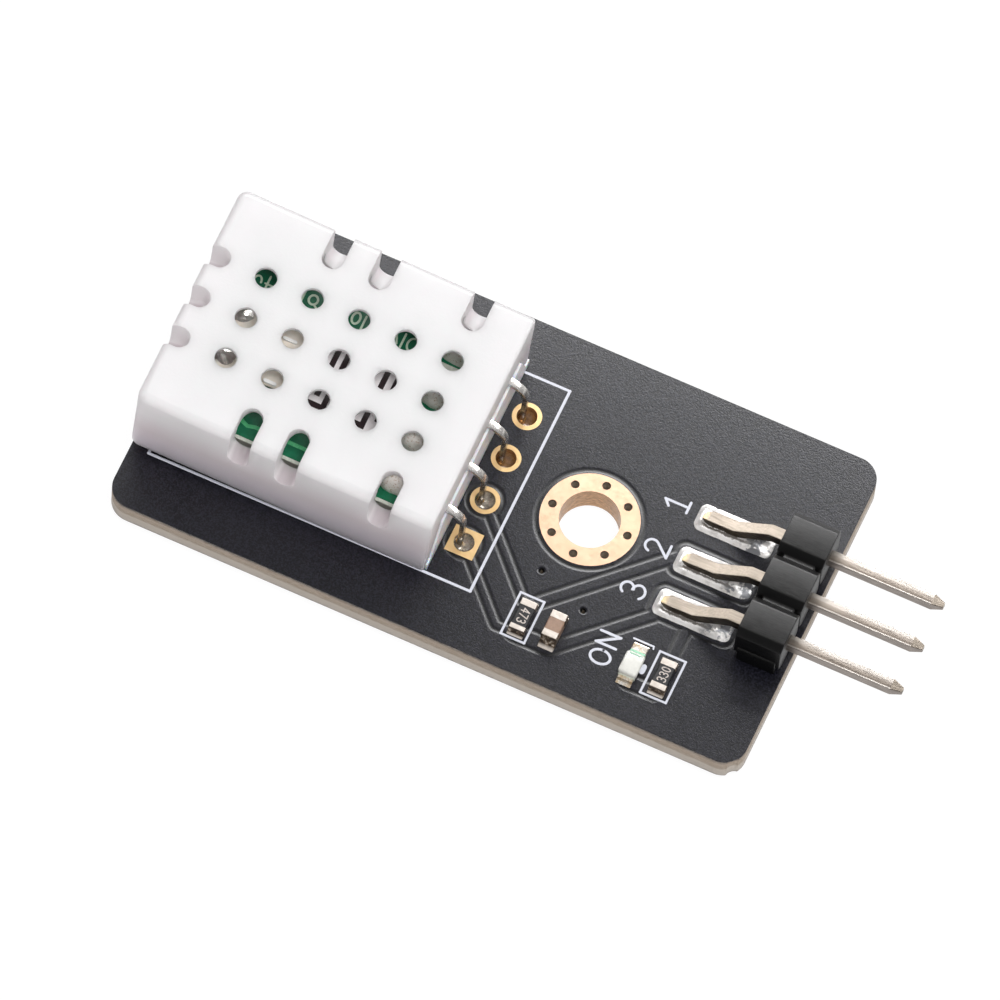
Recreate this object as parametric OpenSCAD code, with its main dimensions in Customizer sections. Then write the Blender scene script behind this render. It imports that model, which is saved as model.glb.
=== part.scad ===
// Temperature and humidity sensor module: a small board with a perforated sensor
// body, a plated mounting hole and a three pin right angle header.
// Origin: centre of the mounting hole on the underside of the board.
// +X points to the header pins, +Z out of the component side.

/* [Board] */
// Distance from the mounting hole to the front edge
board_front = 9.25; // [8.5:0.05:10]
// Distance from the mounting hole to the back edge
board_back = 8.9; // [8.5:0.05:10]
// Distance from the mounting hole to the sensor end
board_left = 22.3; // [22.2:0.1:25]
// Distance from the mounting hole to the header end
board_right = 12.1; // [12:0.05:14]
// Thickness of the laminate
board_t = 1.6; // [1:0.1:2.4]
// Radius of the board's corners
board_corner_r = 1.2; // [0.4:0.1:2]
// Thickness of the plated copper on the faces and in the holes
plate_t = 0.05; // [0.03:0.01:0.08]

/* [Mounting hole] */
// Finished bore of the mounting hole
mount_d = 3.1; // [2.6:0.1:3.3]
// Outer diameter of the plated ring
ring_d = 5.06; // [4.8:0.02:5.3]
// Number of vias in the ring
ring_vias = 8; // [4:1:10]
// Bore of each via in the ring
ring_via_d = 0.44; // [0.3:0.02:0.5]
// Bore of the small vias in the board
small_via_d = 0.3; // [0.2:0.05:0.4]

/* [Sensor body] */
// Length of the shell
shell_l = 15.95; // [15.8:0.05:16.2]
// Distance from an outer leg to the side of the shell
shell_side = 2.565; // [2.5:0.005:2.7]
// Radius of the shell's long edges and of its far corners
shell_edge_r = 0.52; // [0.3:0.02:0.7]
// Radius of the edges round the end where the legs come out
shell_end_r = 0.2; // [0.1:0.02:0.28]
// Thickness of the shell's long walls
shell_wall = 1.1; // [1:0.05:1.25]
// Thickness of the shell's roof
shell_roof = 0.95; // [0.7:0.05:1.1]
// Thickness of the shell's end wall above the legs
shell_end_wall = 0.85; // [0.6:0.05:1]
// Thickness of the shell's far end, behind the notches
shell_far_wall = 1.45; // [1.3:0.05:1.55]
// Turn of the sensor body on the board, in degrees
sensor_turn = 0.15; // [-0.9:0.05:0.9]
// Tilt the sensor was soldered at, its far end off the board, in degrees
sensor_tilt = 2.4; // [0:0.1:3]

/* [Vents] */
// Diameter of a vent
vent_d = 1.12; // [0.8:0.02:1.3]
// Depth of a vent's straight mouth, before it flares inwards
vent_mouth = 0.25; // [0.15:0.05:0.5]
// Diameter of a vent where it meets the inside
vent_flare_d = 1.9; // [1.4:0.1:2.1]
// Columns of round vents
vent_cols = 5; // [5:1:5]
// Rows of round vents
vent_rows = 3; // [3:1:3]
// Pitch of the vents along the shell
vent_pitch_x = 2.54; // [2.48:0.01:2.6]
// Pitch of the vents across the shell
vent_pitch_y = 2.42; // [2.38:0.01:2.46]
// Depth of the edge slots and end notches below the roof
slot_drop = 2.1; // [1.6:0.05:2.3]
// Slope of a slot's floor towards the outside
slot_fall = 20; // [10:1:25]

/* [Inside the sensor] */
// Height of the potted base under the sensor board
base_h = 2.2; // [2:0.05:2.4]
// Thickness of the sensor board
inner_t = 0.8; // [0.6:0.1:1]
// Gap between the sensor board and the shell's end wall
inner_end_gap = 0.1; // [0.05:0.05:0.3]
// Gap between the sensor board and the shell's far end
inner_far_gap = 0.35; // [0.1:0.05:0.6]
// Gap between the sensor board and each long wall
inner_side_gap = 0.325; // [0.2:0.005:0.45]
// Side of the square humidity element
element_side = 5; // [4.6:0.1:5.2]
// Thickness of the humidity element
element_t = 0.55; // [0.4:0.05:0.6]
// Gap between the sensor board and the humidity element
element_gap = 0.35; // [0.25:0.05:0.5]
// Gap between the humidity element and the shell's roof
roof_gap = 0.65; // [0.6:0.05:0.8]
// Width of an electrode bar
electrode_w = 0.46; // [0.3:0.02:0.5]
// Number of electrode bars
electrode_bars = 5; // [3:1:5]
// Width of a lead of the humidity element
lead_w = 0.7; // [0.4:0.05:0.8]
// Thickness of a lead of the humidity element
lead_t = 0.15; // [0.1:0.01:0.2]

/* [Sensor legs] */
// Pitch of the legs
leg_pitch = 2.54; // [2.4:0.01:2.6]
// Distance from the shell's end to the row of leg holes
leg_reach = 1.325; // [1.25:0.005:1.5]
// Distance from the mounting hole to the row of leg holes
leg_row = 5.14; // [5:0.02:5.3]
// Width of a leg
leg_w = 0.42; // [0.3:0.02:0.5]
// Thickness of a leg
leg_t = 0.25; // [0.2:0.01:0.28]
// Radius inside a leg's bend
leg_bend_r = 0.95; // [0.7:0.05:1]
// Stand-off of a leg from the middle of its hole
leg_offset = 0.28; // [0.15:0.01:0.3]
// Reach of a leg below the board
leg_tail = 0.75; // [0.5:0.05:1.2]
// Finished bore of a leg hole
leg_hole_d = 1.05; // [1:0.01:1.1]
// Diameter of a leg pad, and side of the square one
leg_pad_d = 1.52; // [1.4:0.02:1.7]

/* [Header] */
// Pitch of the pins
pin_pitch = 2.54; // [2.5:0.01:2.6]
// Number of pins
pin_count = 3; // [2:1:3]
// Side of a square pin
pin_side = 0.64; // [0.5:0.02:0.66]
// Distance from the mounting hole to the pin tips
pin_reach = 18; // [16:0.1:20]
// Distance from the mounting hole to the toes of the feet
toe_x = 5; // [4.8:0.05:5.3]
// Height of the pin axis above the board
pin_h = 1.6; // [1.5:0.05:1.8]
// Distance from the mounting hole to the insulator
insulator_x = 9.4; // [9.2:0.05:9.5]
// Length of the insulator along the pins
insulator_l = 2.46; // [2.3:0.02:2.6]
// Side of the insulator's section
insulator_h = 2.54; // [2.3:0.02:2.6]
// Width of one insulator cell
cell_w = 2.34; // [2.2:0.02:2.4]
// Chamfer along an insulator cell
cell_chamfer = 0.37; // [0.2:0.01:0.45]
// Setback of the webs between the cells
web_set = 0.4; // [0.2:0.05:0.6]
// Length of a header pad
pad_l = 4.25; // [4.1:0.05:4.3]
// Width of a header pad
pad_w = 1.6; // [1.4:0.05:1.8]

/* [Chip parts] */
// Length of a chip part
chip_l = 1.6; // [1.5:0.05:1.7]
// Width of a chip part
chip_w = 0.82; // [0.7:0.02:0.9]
// Length of an end cap
cap_l = 0.34; // [0.2:0.02:0.4]
// Height of a chip resistor
resistor_h = 0.45; // [0.35:0.05:0.55]
// Height of the chip capacitor
capacitor_h = 0.82; // [0.6:0.02:0.9]
// Height of the light emitting diode
led_h = 0.62; // [0.5:0.02:0.8]

/* [Hidden] */
$fn = 64;

fit = 0.03;             // gap between pieces that are set into each other
cut = 0.5;              // how far a cutting body runs past a face
leg_count = 4;

// Ring of the mounting hole: the vias sit in the middle of the ring's width.
ring_via_r = (mount_d + ring_d) / 4;
// Small vias of the ground copper, as [x, y].
small_vias = [[-1.03, -3.56], [1.72, -4.66]];
// Nick left at the front corner where the board was broken from its panel.
nick_r = 0.55;
nick_depth = 0.14;

// Sensor frame: under the middle of the vent grid, at the foot of the shell.
inner_top = base_h + inner_t;
shell_h = inner_top + element_gap + element_t + roof_gap + shell_roof;
shell_w = (leg_count - 1) * leg_pitch + 2 * shell_side;
shell_x = -0.25;                    // middle of the shell from the middle of the grid
shell_y = 0.11;
shell_end = shell_x + shell_l / 2;  // plane of the end where the legs come out
grid_x = -leg_row - leg_reach - shell_end;
grid_y = 0.1;
slot_cols = [2, 3, 5];              // columns that carry an edge slot
slot_row = (vent_rows + 1) / 2;
slot_end_z = shell_h - slot_drop + vent_d / 2;
in_left = shell_x - shell_l / 2 + shell_far_wall;
in_right = shell_end - shell_end_wall;
in_half = shell_w / 2 - shell_wall;
in_top = shell_h - shell_roof;

// Base and sensor board inside the shell.
base_proud = 0.1;                   // how far the base's end stands out of the shell
base_foot_w = shell_w - 1.2;        // width of the base's end at the board
base_foot_h = 0.65;
base_lip_w = shell_w - 0.3;         // width of the lip over the shell's end
base_top_w = shell_w - 3.15;        // width of the base's end under the legs
inner_l = in_right - in_left - inner_end_gap - inner_far_gap;
inner_w = 2 * (in_half - inner_side_gap);
inner_x = in_right - inner_end_gap - inner_l / 2;
inner_y = -0.07;
base_block_w = inner_w - 0.3;
controller_l = 4.9;
controller_w = 3.9;
controller_h = 1.4;
thermistor_l = 0.8;
thermistor_w = 1.6;
thermistor_h = 0.5;
leg_gap = 0.06;                     // clearance over the legs in the end wall

// Solder joints of the legs on the sensor board.
leg_joint_l = 2.1;
leg_joint_w = 1.05;
leg_joint_h = 0.42;
leg_joint_x = in_right - 1.825;

// Humidity element on its two leads, clear of the leg joints.
element_x = leg_joint_x - leg_joint_l / 2 - element_gap - element_side / 2;
element_z = inner_top + element_gap;
lead_start = in_left + 1.225;
lead_grip = 0.5;                    // how far a lead reaches over the element
electrode_t = 0.03;
comb_rail = 0.3;                    // width of a comb's rail
comb_margin = 0.2;                  // from the plate's edge to the rail
comb_gap = 0.3;                     // from the end of a bar to the other rail

// The foot of the sensor meets the board along the end where the legs come out.
sensor_lift = (shell_end + base_proud) * sin(sensor_tilt);

// Legs in the sensor frame.
leg_hole_x = -leg_row - grid_x;
leg_shift = -grid_y - leg_hole_x * sin(sensor_turn);
// Middle of the bend. The leg hangs plumb from it, clear of the hole's middle.
leg_bend_z = inner_top - leg_bend_r;
leg_bend_x = (leg_hole_x - leg_offset - leg_bend_r - leg_t / 2
              - leg_bend_z * sin(sensor_tilt)) / cos(sensor_tilt);
leg_drop = sensor_lift + leg_bend_z * cos(sensor_tilt) - leg_bend_x * sin(sensor_tilt)
           + board_t + leg_tail;
solder_fill = [0.55, 0.55, 1.15, 1.3];      // height of the solder in each leg hole

// Header.
pin_z = board_t + pin_h;
foot_h = 0.56;                      // height of a foot over its pad
foot_l = 1.8;                       // length of a foot's flat part
rise_l = 1.9;                       // length of the slope up to the pin
toe_cut = 0.45;                     // length of the chamfer on a toe
toe_w = 0.34;                       // width of a toe's end
tip_l = 0.6;                        // length of a pin's pointed tip
tip_side = 0.3;
pad_x = 4.7;
pad_corner_r = 0.4;
solder_h = 0.32;
joint_h = 0.02;                     // solder under a chip part
led_base_h = led_h * 0.42;          // height of the diode's carrier and terminals

// Chip parts, as [x, y] of their middle.
resistor_1_at = [-0.82, -6.3];
resistor_2_at = [6.76, -6.28];
capacitor_at = [0.86, -6.36];
led_at = [5.24, -6.4];
chip_solder_l = 0.32;               // reach of the solder past an end cap

function leg_y(i) = ((leg_count + 1) / 2 - i) * leg_pitch;
function pin_y(i) = ((pin_count + 1) / 2 - i) * pin_pitch;

// A box given by its low corner and its size, for plain cuts and plates.
module plate(low, size) {
    translate(low) cube(size);
}

// An outline in the XZ plane, given width in Y about y.
module slab_y(y, width) {
    translate([0, y + width / 2, 0]) rotate([90, 0, 0]) linear_extrude(width) children();
}

// An outline in the YZ plane, running from x over a length.
module slab_x(x, length) {
    translate([x, 0, 0]) rotate([90, 0, 90]) linear_extrude(length) children();
}

// A rectangle with rounded corners, from its low corner.
module rounded_rect(low, size, r) {
    translate(low) {
        translate([r, 0]) square([size[0] - 2 * r, size[1]]);
        translate([0, r]) square([size[0], size[1] - 2 * r]);
        for (x = [r, size[0] - r], y = [r, size[1] - r])
            translate([x, y]) circle(r);
    }
}

// A hole through the board at a point.
module board_hole(at, d) {
    translate([at[0], at[1], -cut]) cylinder(h = board_t + 2 * cut, d = d);
}

// Places its children on each via of the mounting ring.
module at_ring_vias() {
    for (i = [0:ring_vias - 1])
        rotate(i * 360 / ring_vias) translate([ring_via_r, 0, 0]) children();
}

// Places its children in the sensor's own frame, tilted on the component face.
module on_sensor() {
    translate([grid_x, grid_y, board_t + sensor_lift])
        rotate([0, sensor_tilt, sensor_turn]) children();
}

// Laminate with its drilled holes and the nick at the front corner.
module pcb() {
    corner_x = board_right - board_corner_r * (1 - sqrt(0.5));
    corner_y = -board_front + board_corner_r * (1 - sqrt(0.5));
    out = (nick_r - nick_depth) * sqrt(0.5);
    color("#26262b")
        difference() {
            linear_extrude(board_t)
                rounded_rect([-board_left, -board_front],
                             [board_left + board_right, board_front + board_back],
                             board_corner_r);
            board_hole([0, 0], mount_d + 2 * plate_t);
            at_ring_vias() board_hole([0, 0], ring_via_d);
            for (at = small_vias) board_hole(at, small_via_d);
            for (i = [1:leg_count])
                board_hole([-leg_row, leg_y(i)], leg_hole_d + 2 * plate_t);
            board_hole([corner_x + out, corner_y - out], 2 * nick_r);
        }
}

// Plated ring on both faces, joined by the wall of the hole.
module mounting_ring() {
    color("#e3c07c")
        difference() {
            union() {
                for (z = [-plate_t, board_t])
                    translate([0, 0, z]) cylinder(h = plate_t, d = ring_d);
                translate([0, 0, -plate_t])
                    cylinder(h = board_t + 2 * plate_t, d = mount_d + 2 * plate_t);
            }
            board_hole([0, 0], mount_d);
            at_ring_vias() board_hole([0, 0], ring_via_d);
        }
}

// Section of the shell across its length, drawn in by an inset.
module shell_section(inset) {
    side = shell_w / 2 - shell_edge_r;
    for (s = [-1, 1])
        translate([s * side, shell_h - shell_edge_r]) circle(shell_edge_r - inset, $fn = 32);
    translate([-shell_w / 2 + inset, 0])
        square([shell_w - 2 * inset, shell_h - shell_edge_r]);
}

// Outer form of the shell: round long edges and far corners, and a sharper rim at
// the end where the legs come out.
module shell_form() {
    far = -shell_l / 2 + shell_edge_r;
    side = shell_w / 2 - shell_edge_r;
    translate([shell_x, shell_y, 0])
        hull() {
            for (s = [-1, 1]) translate([far, s * side, 0]) {
                cylinder(h = 0.1, r = shell_edge_r, $fn = 32);
                translate([0, 0, shell_h - shell_edge_r]) sphere(r = shell_edge_r, $fn = 32);
            }
            for (a = [0, 30, 60, 90])
                slab_x(shell_l / 2 - shell_end_r * (1 - sin(a)) - 0.01, 0.01)
                    shell_section(shell_end_r * (1 - cos(a)));
        }
}

// One round vent, straight at its mouth and flaring towards the inside.
module vent(x, y) {
    mouth_z = shell_h - vent_mouth;
    translate([x, y, mouth_z]) cylinder(h = vent_mouth + cut, d = vent_d);
    translate([x, y, in_top])
        cylinder(h = mouth_z - in_top, d1 = vent_flare_d, d2 = vent_d);
}

// One slot that leaves the roof over an edge, with a round end and a round floor.
// It starts at [x, y] and runs out along the given direction.
module edge_slot(x, y, direction) {
    run = shell_w;
    translate([x, y, 0]) rotate(direction) {
        translate([0, 0, slot_end_z]) cylinder(h = shell_h, d = vent_d);
        plate([0, -vent_d / 2, slot_end_z], [run, vent_d, shell_h]);
        translate([0, 0, slot_end_z]) rotate([0, slot_fall, 0]) {
            rotate([0, 90, 0]) cylinder(h = run, d = vent_d);
            plate([0, -vent_d / 2, 0], [run, vent_d, shell_h]);
        }
        translate([0, 0, slot_end_z]) sphere(d = vent_d);
    }
}

// Outline of the base's end in the YZ plane, grown by a gap.
module base_end_outline(gap) {
    foot = base_foot_w / 2 + gap;
    top = base_top_w / 2 + gap;
    polygon([
        [-foot, -cut],
        [foot, -cut],
        [foot, base_foot_h + gap],
        [top, inner_top + gap],
        [-top, inner_top + gap],
        [-foot, base_foot_h + gap]
    ]);
}

// White cap over the sensor: vents in the roof, slots over three edges, an open
// foot, and an end wall that stops above the legs.
module sensor_shell() {
    end_l = shell_end_wall + 2 * cut;
    color("#f3f1f0")
        on_sensor()
            difference() {
                shell_form();
                plate([in_left, shell_y - in_half, -cut],
                      [in_right - in_left, 2 * in_half, in_top + cut]);
                for (i = [1:vent_cols], j = [1:vent_rows])
                    vent((i - (vent_cols + 1) / 2) * vent_pitch_x,
                         (j - (vent_rows + 1) / 2) * vent_pitch_y);
                for (i = slot_cols, side = [-1, 1])
                    edge_slot((i - (vent_cols + 1) / 2) * vent_pitch_x,
                              side * slot_row * vent_pitch_y, side * 90);
                for (j = [1:vent_rows])
                    edge_slot(-(vent_cols + 1) / 2 * vent_pitch_x,
                              (j - (vent_rows + 1) / 2) * vent_pitch_y, 180);
                translate([0, shell_y, 0])
                    slab_x(in_right - cut, end_l) base_end_outline(fit);
                plate([in_right - cut, shell_y - base_top_w / 2 - fit, base_h],
                      [end_l, base_top_w + 2 * fit, inner_t + leg_t + leg_gap]);
            }
}

// Pale potted base: a block under the sensor board and an end that fills the
// shell's open end up to the legs.
module sensor_base() {
    chip_gap = 0.05;
    end_x = in_right + fit;
    color([0.80, 0.78, 0.80, 0.75])
        on_sensor()
            difference() {
                union() {
                    plate([in_left + fit, inner_y - base_block_w / 2, 0],
                          [end_x - in_left, base_block_w, base_h]);
                    translate([0, shell_y, 0])
                        intersection() {
                            slab_x(end_x, shell_end_wall - fit + base_proud)
                                base_end_outline(0);
                            plate([end_x, -shell_w, 0], [shell_l, 2 * shell_w, shell_h]);
                        }
                    plate([shell_end, shell_y - base_lip_w / 2, 0],
                          [base_proud, base_lip_w, base_foot_h]);
                }
                chip_form(chip_gap);
                for (i = [1:leg_count]) leg_form(i, fit);
            }
}

// Green board that carries the element, the legs and the chip.
module sensor_board() {
    color("#1f6b45")
        on_sensor()
            plate([inner_x - inner_l / 2, inner_y - inner_w / 2, base_h],
                  [inner_l, inner_w, inner_t]);
}

// Body of the controller chip, hanging under the sensor board, grown by a gap.
module chip_form(gap) {
    top = gap > 0 ? cut : 0;
    plate([inner_x - controller_l / 2 - gap, -controller_w / 2 - gap,
           base_h - controller_h - gap],
          [controller_l + 2 * gap, controller_w + 2 * gap, controller_h + gap + top]);
}

module sensor_chip() {
    color("#1c1c1e") on_sensor() chip_form(0);
}

// Small chip between two vents that measures the temperature.
module thermistor() {
    color("#2f2a28")
        on_sensor()
            plate([(vent_pitch_x - thermistor_w) / 2, vent_pitch_y + 0.38, inner_top],
                  [thermistor_l, thermistor_w, thermistor_h]);
}

// Pale ceramic plate held above the sensor board.
module humidity_element() {
    color("#d9d3dc")
        on_sensor()
            plate([element_x - element_side / 2, -element_side / 2, element_z],
                  [element_side, element_side, element_t]);
}

// One dark comb on top of the plate: a rail along one side with bars across. The
// two combs reach between each other.
module element_comb(i) {
    pitch = (element_side - lead_grip) / (electrode_bars + 0.5);
    side = i == 1 ? 1 : -1;
    reach = element_side - 2 * comb_margin - comb_rail - comb_gap;
    rail_y = side * (element_side / 2 - comb_margin - comb_rail / 2);
    rail_l = element_side - lead_grip - 2 * comb_margin;
    color("#3a2226")
        on_sensor()
            translate([element_x, 0, element_z + element_t]) {
                for (k = [i:2:electrode_bars])
                    translate([(k - (electrode_bars + 1) / 2) * pitch + lead_grip / 2, 0, 0])
                        plate([-electrode_w / 2,
                               side > 0 ? rail_y - reach : rail_y, 0],
                              [electrode_w, reach, electrode_t]);
                plate([element_side / 2 - comb_margin - rail_l, rail_y - comb_rail / 2, 0],
                      [rail_l, comb_rail, electrode_t]);
            }
}

// Flat lead of the element: soldered down at its far end, stepped up to the
// plate, and gripping the plate's edge.
module element_lead(i) {
    y = (1.5 - i) * leg_pitch + leg_shift;
    up = element_z + element_t;
    edge = element_x - element_side / 2;
    run = edge - fit - lead_t - lead_start;
    foot = lead_start + run * 0.25;
    step = lead_start + run * 0.4;
    color("#c9c2b6")
        on_sensor() {
            slab_y(y, lead_w)
                polygon([
                    [lead_start, inner_top],
                    [foot, inner_top],
                    [step, up - lead_t],
                    [edge - fit, up - lead_t],
                    [edge - fit, up],
                    [edge + lead_grip, up],
                    [edge + lead_grip, up + lead_t],
                    [edge - fit - lead_t, up + lead_t],
                    [edge - fit - lead_t, up],
                    [step - 0.1, up],
                    [foot - 0.1, inner_top + lead_t],
                    [lead_start, inner_top + lead_t]
                ]);
            slab_y(y, lead_w + 0.5)
                polygon([
                    [lead_start - 0.6, inner_top],
                    [lead_start, inner_top],
                    [lead_start, inner_top + 0.75]
                ]);
        }
}

// One flat leg in the sensor frame, from its joint on the sensor board, over the
// base's end and down through the board, grown by a gap.
module leg_form(i, gap) {
    outer_r = leg_bend_r + leg_t + gap;
    start = leg_joint_x - leg_joint_l / 2 + 0.3;
    slab_y(leg_y(i) + leg_shift, leg_w + 2 * gap) {
        translate([start, inner_top - gap]) square([leg_bend_x - start, leg_t + 2 * gap]);
        translate([leg_bend_x, leg_bend_z]) {
            intersection() {
                difference() {
                    circle(outer_r);
                    circle(leg_bend_r - gap);
                }
                square(outer_r);
                rotate(sensor_tilt) square(outer_r);
            }
            rotate(sensor_tilt) translate([leg_bend_r - gap, -leg_drop])
                square([leg_t + 2 * gap, leg_drop]);
        }
    }
}

module sensor_leg(i) {
    color("#b9b4a8") on_sensor() leg_form(i, 0);
}

// Solder lump over the start of a leg on the sensor board.
module leg_joint(i) {
    rim = 0.16;
    half = leg_joint_w / 2;
    y = leg_y(i) + leg_shift;
    color("#bdb5ac")
        on_sensor()
            difference() {
                intersection() {
                    slab_x(leg_joint_x - leg_joint_l / 2, leg_joint_l)
                        polygon([
                            [y - half, inner_top],
                            [y + half, inner_top],
                            [y + half - rim, inner_top + leg_joint_h],
                            [y - half + rim, inner_top + leg_joint_h]
                        ]);
                    slab_y(y, 2 * leg_joint_w)
                        polygon([
                            [leg_joint_x - leg_joint_l / 2, inner_top],
                            [leg_joint_x + leg_joint_l / 2, inner_top],
                            [leg_joint_x + leg_joint_l / 2 - rim, inner_top + leg_joint_h],
                            [leg_joint_x - leg_joint_l / 2 + rim, inner_top + leg_joint_h]
                        ]);
                }
                leg_form(i, 0);
            }
}

// Plated hole for a leg. The last one is square on the component face.
module leg_pad(i) {
    color("#e3c07c")
        translate([-leg_row, leg_y(i), 0])
            difference() {
                union() {
                    translate([0, 0, -plate_t])
                        cylinder(h = board_t + 2 * plate_t, d = leg_hole_d + 2 * plate_t);
                    for (z = [-plate_t, board_t])
                        translate([0, 0, z])
                            if (i == leg_count)
                                plate([-leg_pad_d / 2, -leg_pad_d / 2, 0],
                                      [leg_pad_d, leg_pad_d, plate_t]);
                            else
                                cylinder(h = plate_t, d = leg_pad_d);
                }
                board_hole([0, 0], leg_hole_d);
            }
}

// Solder round a leg: it fills the hole to its own height and runs out in a
// cone below the board.
module leg_solder(i) {
    root = -plate_t;
    color("#a9a8a6")
        difference() {
            translate([-leg_row, leg_y(i), 0]) {
                translate([0, 0, root]) cylinder(h = solder_fill[i - 1], d = leg_hole_d);
                translate([0, 0, root - 0.15]) cylinder(h = 0.15, d = leg_pad_d - 0.06);
                translate([0, 0, -leg_tail + 0.1])
                    cylinder(h = leg_tail - plate_t - 0.25, d1 = leg_hole_d - 0.1,
                             d2 = leg_pad_d - 0.06);
            }
            on_sensor() leg_form(i, 0);
        }
}

// Places its children on a chip part's middle, on the component face.
module at_chip(at) {
    translate([at[0], at[1], board_t]) children();
}

// Middle of a chip part between its end caps, its length along Y.
module chip_body(width, height) {
    half = chip_l / 2 - cap_l;
    plate([-width / 2, -half, joint_h], [width, 2 * half, height - joint_h]);
}

// End cap with the pad and the solder fillet that hold a chip part. End 1 lies
// towards the back of the board.
module chip_end(i, height) {
    half = chip_l / 2;
    climb = min(height * 0.7, 0.45);
    rotate(180 * (i - 1)) {
        plate([-chip_w / 2, half - cap_l, joint_h], [chip_w, cap_l, height - joint_h]);
        plate([-chip_w / 2 - 0.04, half - cap_l, 0],
              [chip_w + 0.08, cap_l + chip_solder_l, joint_h]);
        slab_x(-chip_w / 2, chip_w)
            polygon([
                [half, joint_h],
                [half + chip_solder_l, joint_h],
                [half + chip_solder_l * 0.35, climb * 0.45],
                [half, climb]
            ]);
    }
}

module resistor_body(at) {
    color("#1b1b1e") at_chip(at) chip_body(chip_w, resistor_h);
}

module resistor_end(at, i) {
    color("#cfcac2") at_chip(at) chip_end(i, resistor_h);
}

module capacitor_body() {
    color("#9a7b68") at_chip(capacitor_at) chip_body(chip_w, capacitor_h);
}

module capacitor_end(i) {
    color("#cfcac2") at_chip(capacitor_at) chip_end(i, capacitor_h);
}

// Thin carrier under the light emitting diode.
module led_base() {
    half = chip_l / 2 - cap_l;
    color("#e9e6d8")
        at_chip(led_at)
            plate([-chip_w / 2, -half, joint_h], [chip_w, 2 * half, led_base_h - joint_h]);
}

// Moulded top of the diode, with sloping ends.
module led_lens() {
    half = chip_l / 2 - cap_l + 0.12;
    low = led_base_h;
    color("#f4f2ea")
        at_chip(led_at)
            slab_x(-chip_w / 2, chip_w)
                polygon([[-half, low], [half, low], [half - 0.1, led_h], [-half + 0.1, led_h]]);
}

module led_end(i) {
    color("#cdb98c") at_chip(led_at) chip_end(i, led_base_h);
}

// Outline of one insulator cell in the YZ plane.
module cell_outline() {
    w = cell_w / 2;
    h = insulator_h / 2;
    c = cell_chamfer;
    polygon([
        [-w, -h + c], [-w + c, -h], [w - c, -h], [w, -h + c],
        [w, h - c], [w - c, h], [-w + c, h], [-w, h - c]
    ]);
}

// Black moulding of the header: cells joined by thin webs that are set back
// from both faces, with a square hole for each pin.
module header_body() {
    web_w = pin_pitch - cell_w;
    web_h = insulator_h - 2 * cell_chamfer;
    color("#161618")
        difference() {
            union() {
                for (i = [1:pin_count])
                    translate([0, pin_y(i), pin_z])
                        slab_x(insulator_x, insulator_l) cell_outline();
                for (i = [1:pin_count - 1])
                    plate([insulator_x + web_set,
                           pin_y(i) - pin_pitch / 2 - web_w / 2, pin_z - web_h / 2],
                          [insulator_l - 2 * web_set, web_w, web_h]);
            }
            for (i = [1:pin_count])
                plate([insulator_x - cut, pin_y(i) - pin_side / 2, pin_z - pin_side / 2],
                      [insulator_l + 2 * cut, pin_side, pin_side]);
        }
}

// Side view of a pin: flat foot with a chamfered toe, slope, shank and tip.
module pin_side_view() {
    foot_z = board_t + plate_t;
    half = pin_side / 2;
    bend = toe_x + foot_l;
    shank = bend + rise_l;
    polygon([
        [toe_x, foot_z],
        [bend + 0.15, foot_z],
        [shank + 0.1, pin_z - half],
        [pin_reach - tip_l, pin_z - half],
        [pin_reach, pin_z - tip_side / 2],
        [pin_reach, pin_z + tip_side / 2],
        [pin_reach - tip_l, pin_z + half],
        [shank - 0.1, pin_z + half],
        [bend, foot_z + foot_h],
        [toe_x + toe_cut, foot_z + foot_h * 0.92],
        [toe_x, foot_z + foot_h * 0.45]
    ]);
}

// Top view of a pin: narrowed toe and pointed tip.
module pin_top_view() {
    half = pin_side / 2;
    polygon([
        [toe_x, -toe_w / 2],
        [toe_x + toe_cut, -half],
        [pin_reach - tip_l, -half],
        [pin_reach, -tip_side / 2],
        [pin_reach, tip_side / 2],
        [pin_reach - tip_l, half],
        [toe_x + toe_cut, half],
        [toe_x, toe_w / 2]
    ]);
}

module header_pin(i) {
    color("#d8c9b0")
        intersection() {
            slab_y(pin_y(i), 2 * pin_side) pin_side_view();
            translate([0, pin_y(i), 0]) linear_extrude(pin_z + pin_side) pin_top_view();
        }
}

module header_pad(i) {
    color("#dcd8d0")
        translate([0, pin_y(i), board_t])
            linear_extrude(plate_t)
                rounded_rect([pad_x, -pad_w / 2], [pad_l, pad_w], pad_corner_r);
}

// Solder along both sides of a foot and round its toe.
module header_solder(i) {
    z = board_t + plate_t;
    half = pad_w / 2 - 0.12;
    inner = pin_side / 2;
    color("#c4bfb6")
        difference() {
            translate([0, pin_y(i), z])
                intersection() {
                    slab_x(pad_x + 0.1, pad_l - 0.2)
                        polygon([
                            [-half, 0], [half, 0], [half, 0.05], [inner + 0.08, solder_h * 0.5],
                            [inner, solder_h], [-inner, solder_h],
                            [-inner - 0.08, solder_h * 0.5], [-half, 0.05]
                        ]);
                    slab_y(0, 2 * pad_w)
                        polygon([
                            [pad_x + 0.1, 0], [pad_x + pad_l - 0.1, 0],
                            [pad_x + pad_l - 0.1, 0.05],
                            [toe_x + foot_l + 0.75, solder_h], [toe_x, solder_h],
                            [pad_x + 0.1, 0.05]
                        ]);
                }
            slab_y(pin_y(i), pin_side) pin_side_view();
        }
}

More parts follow.
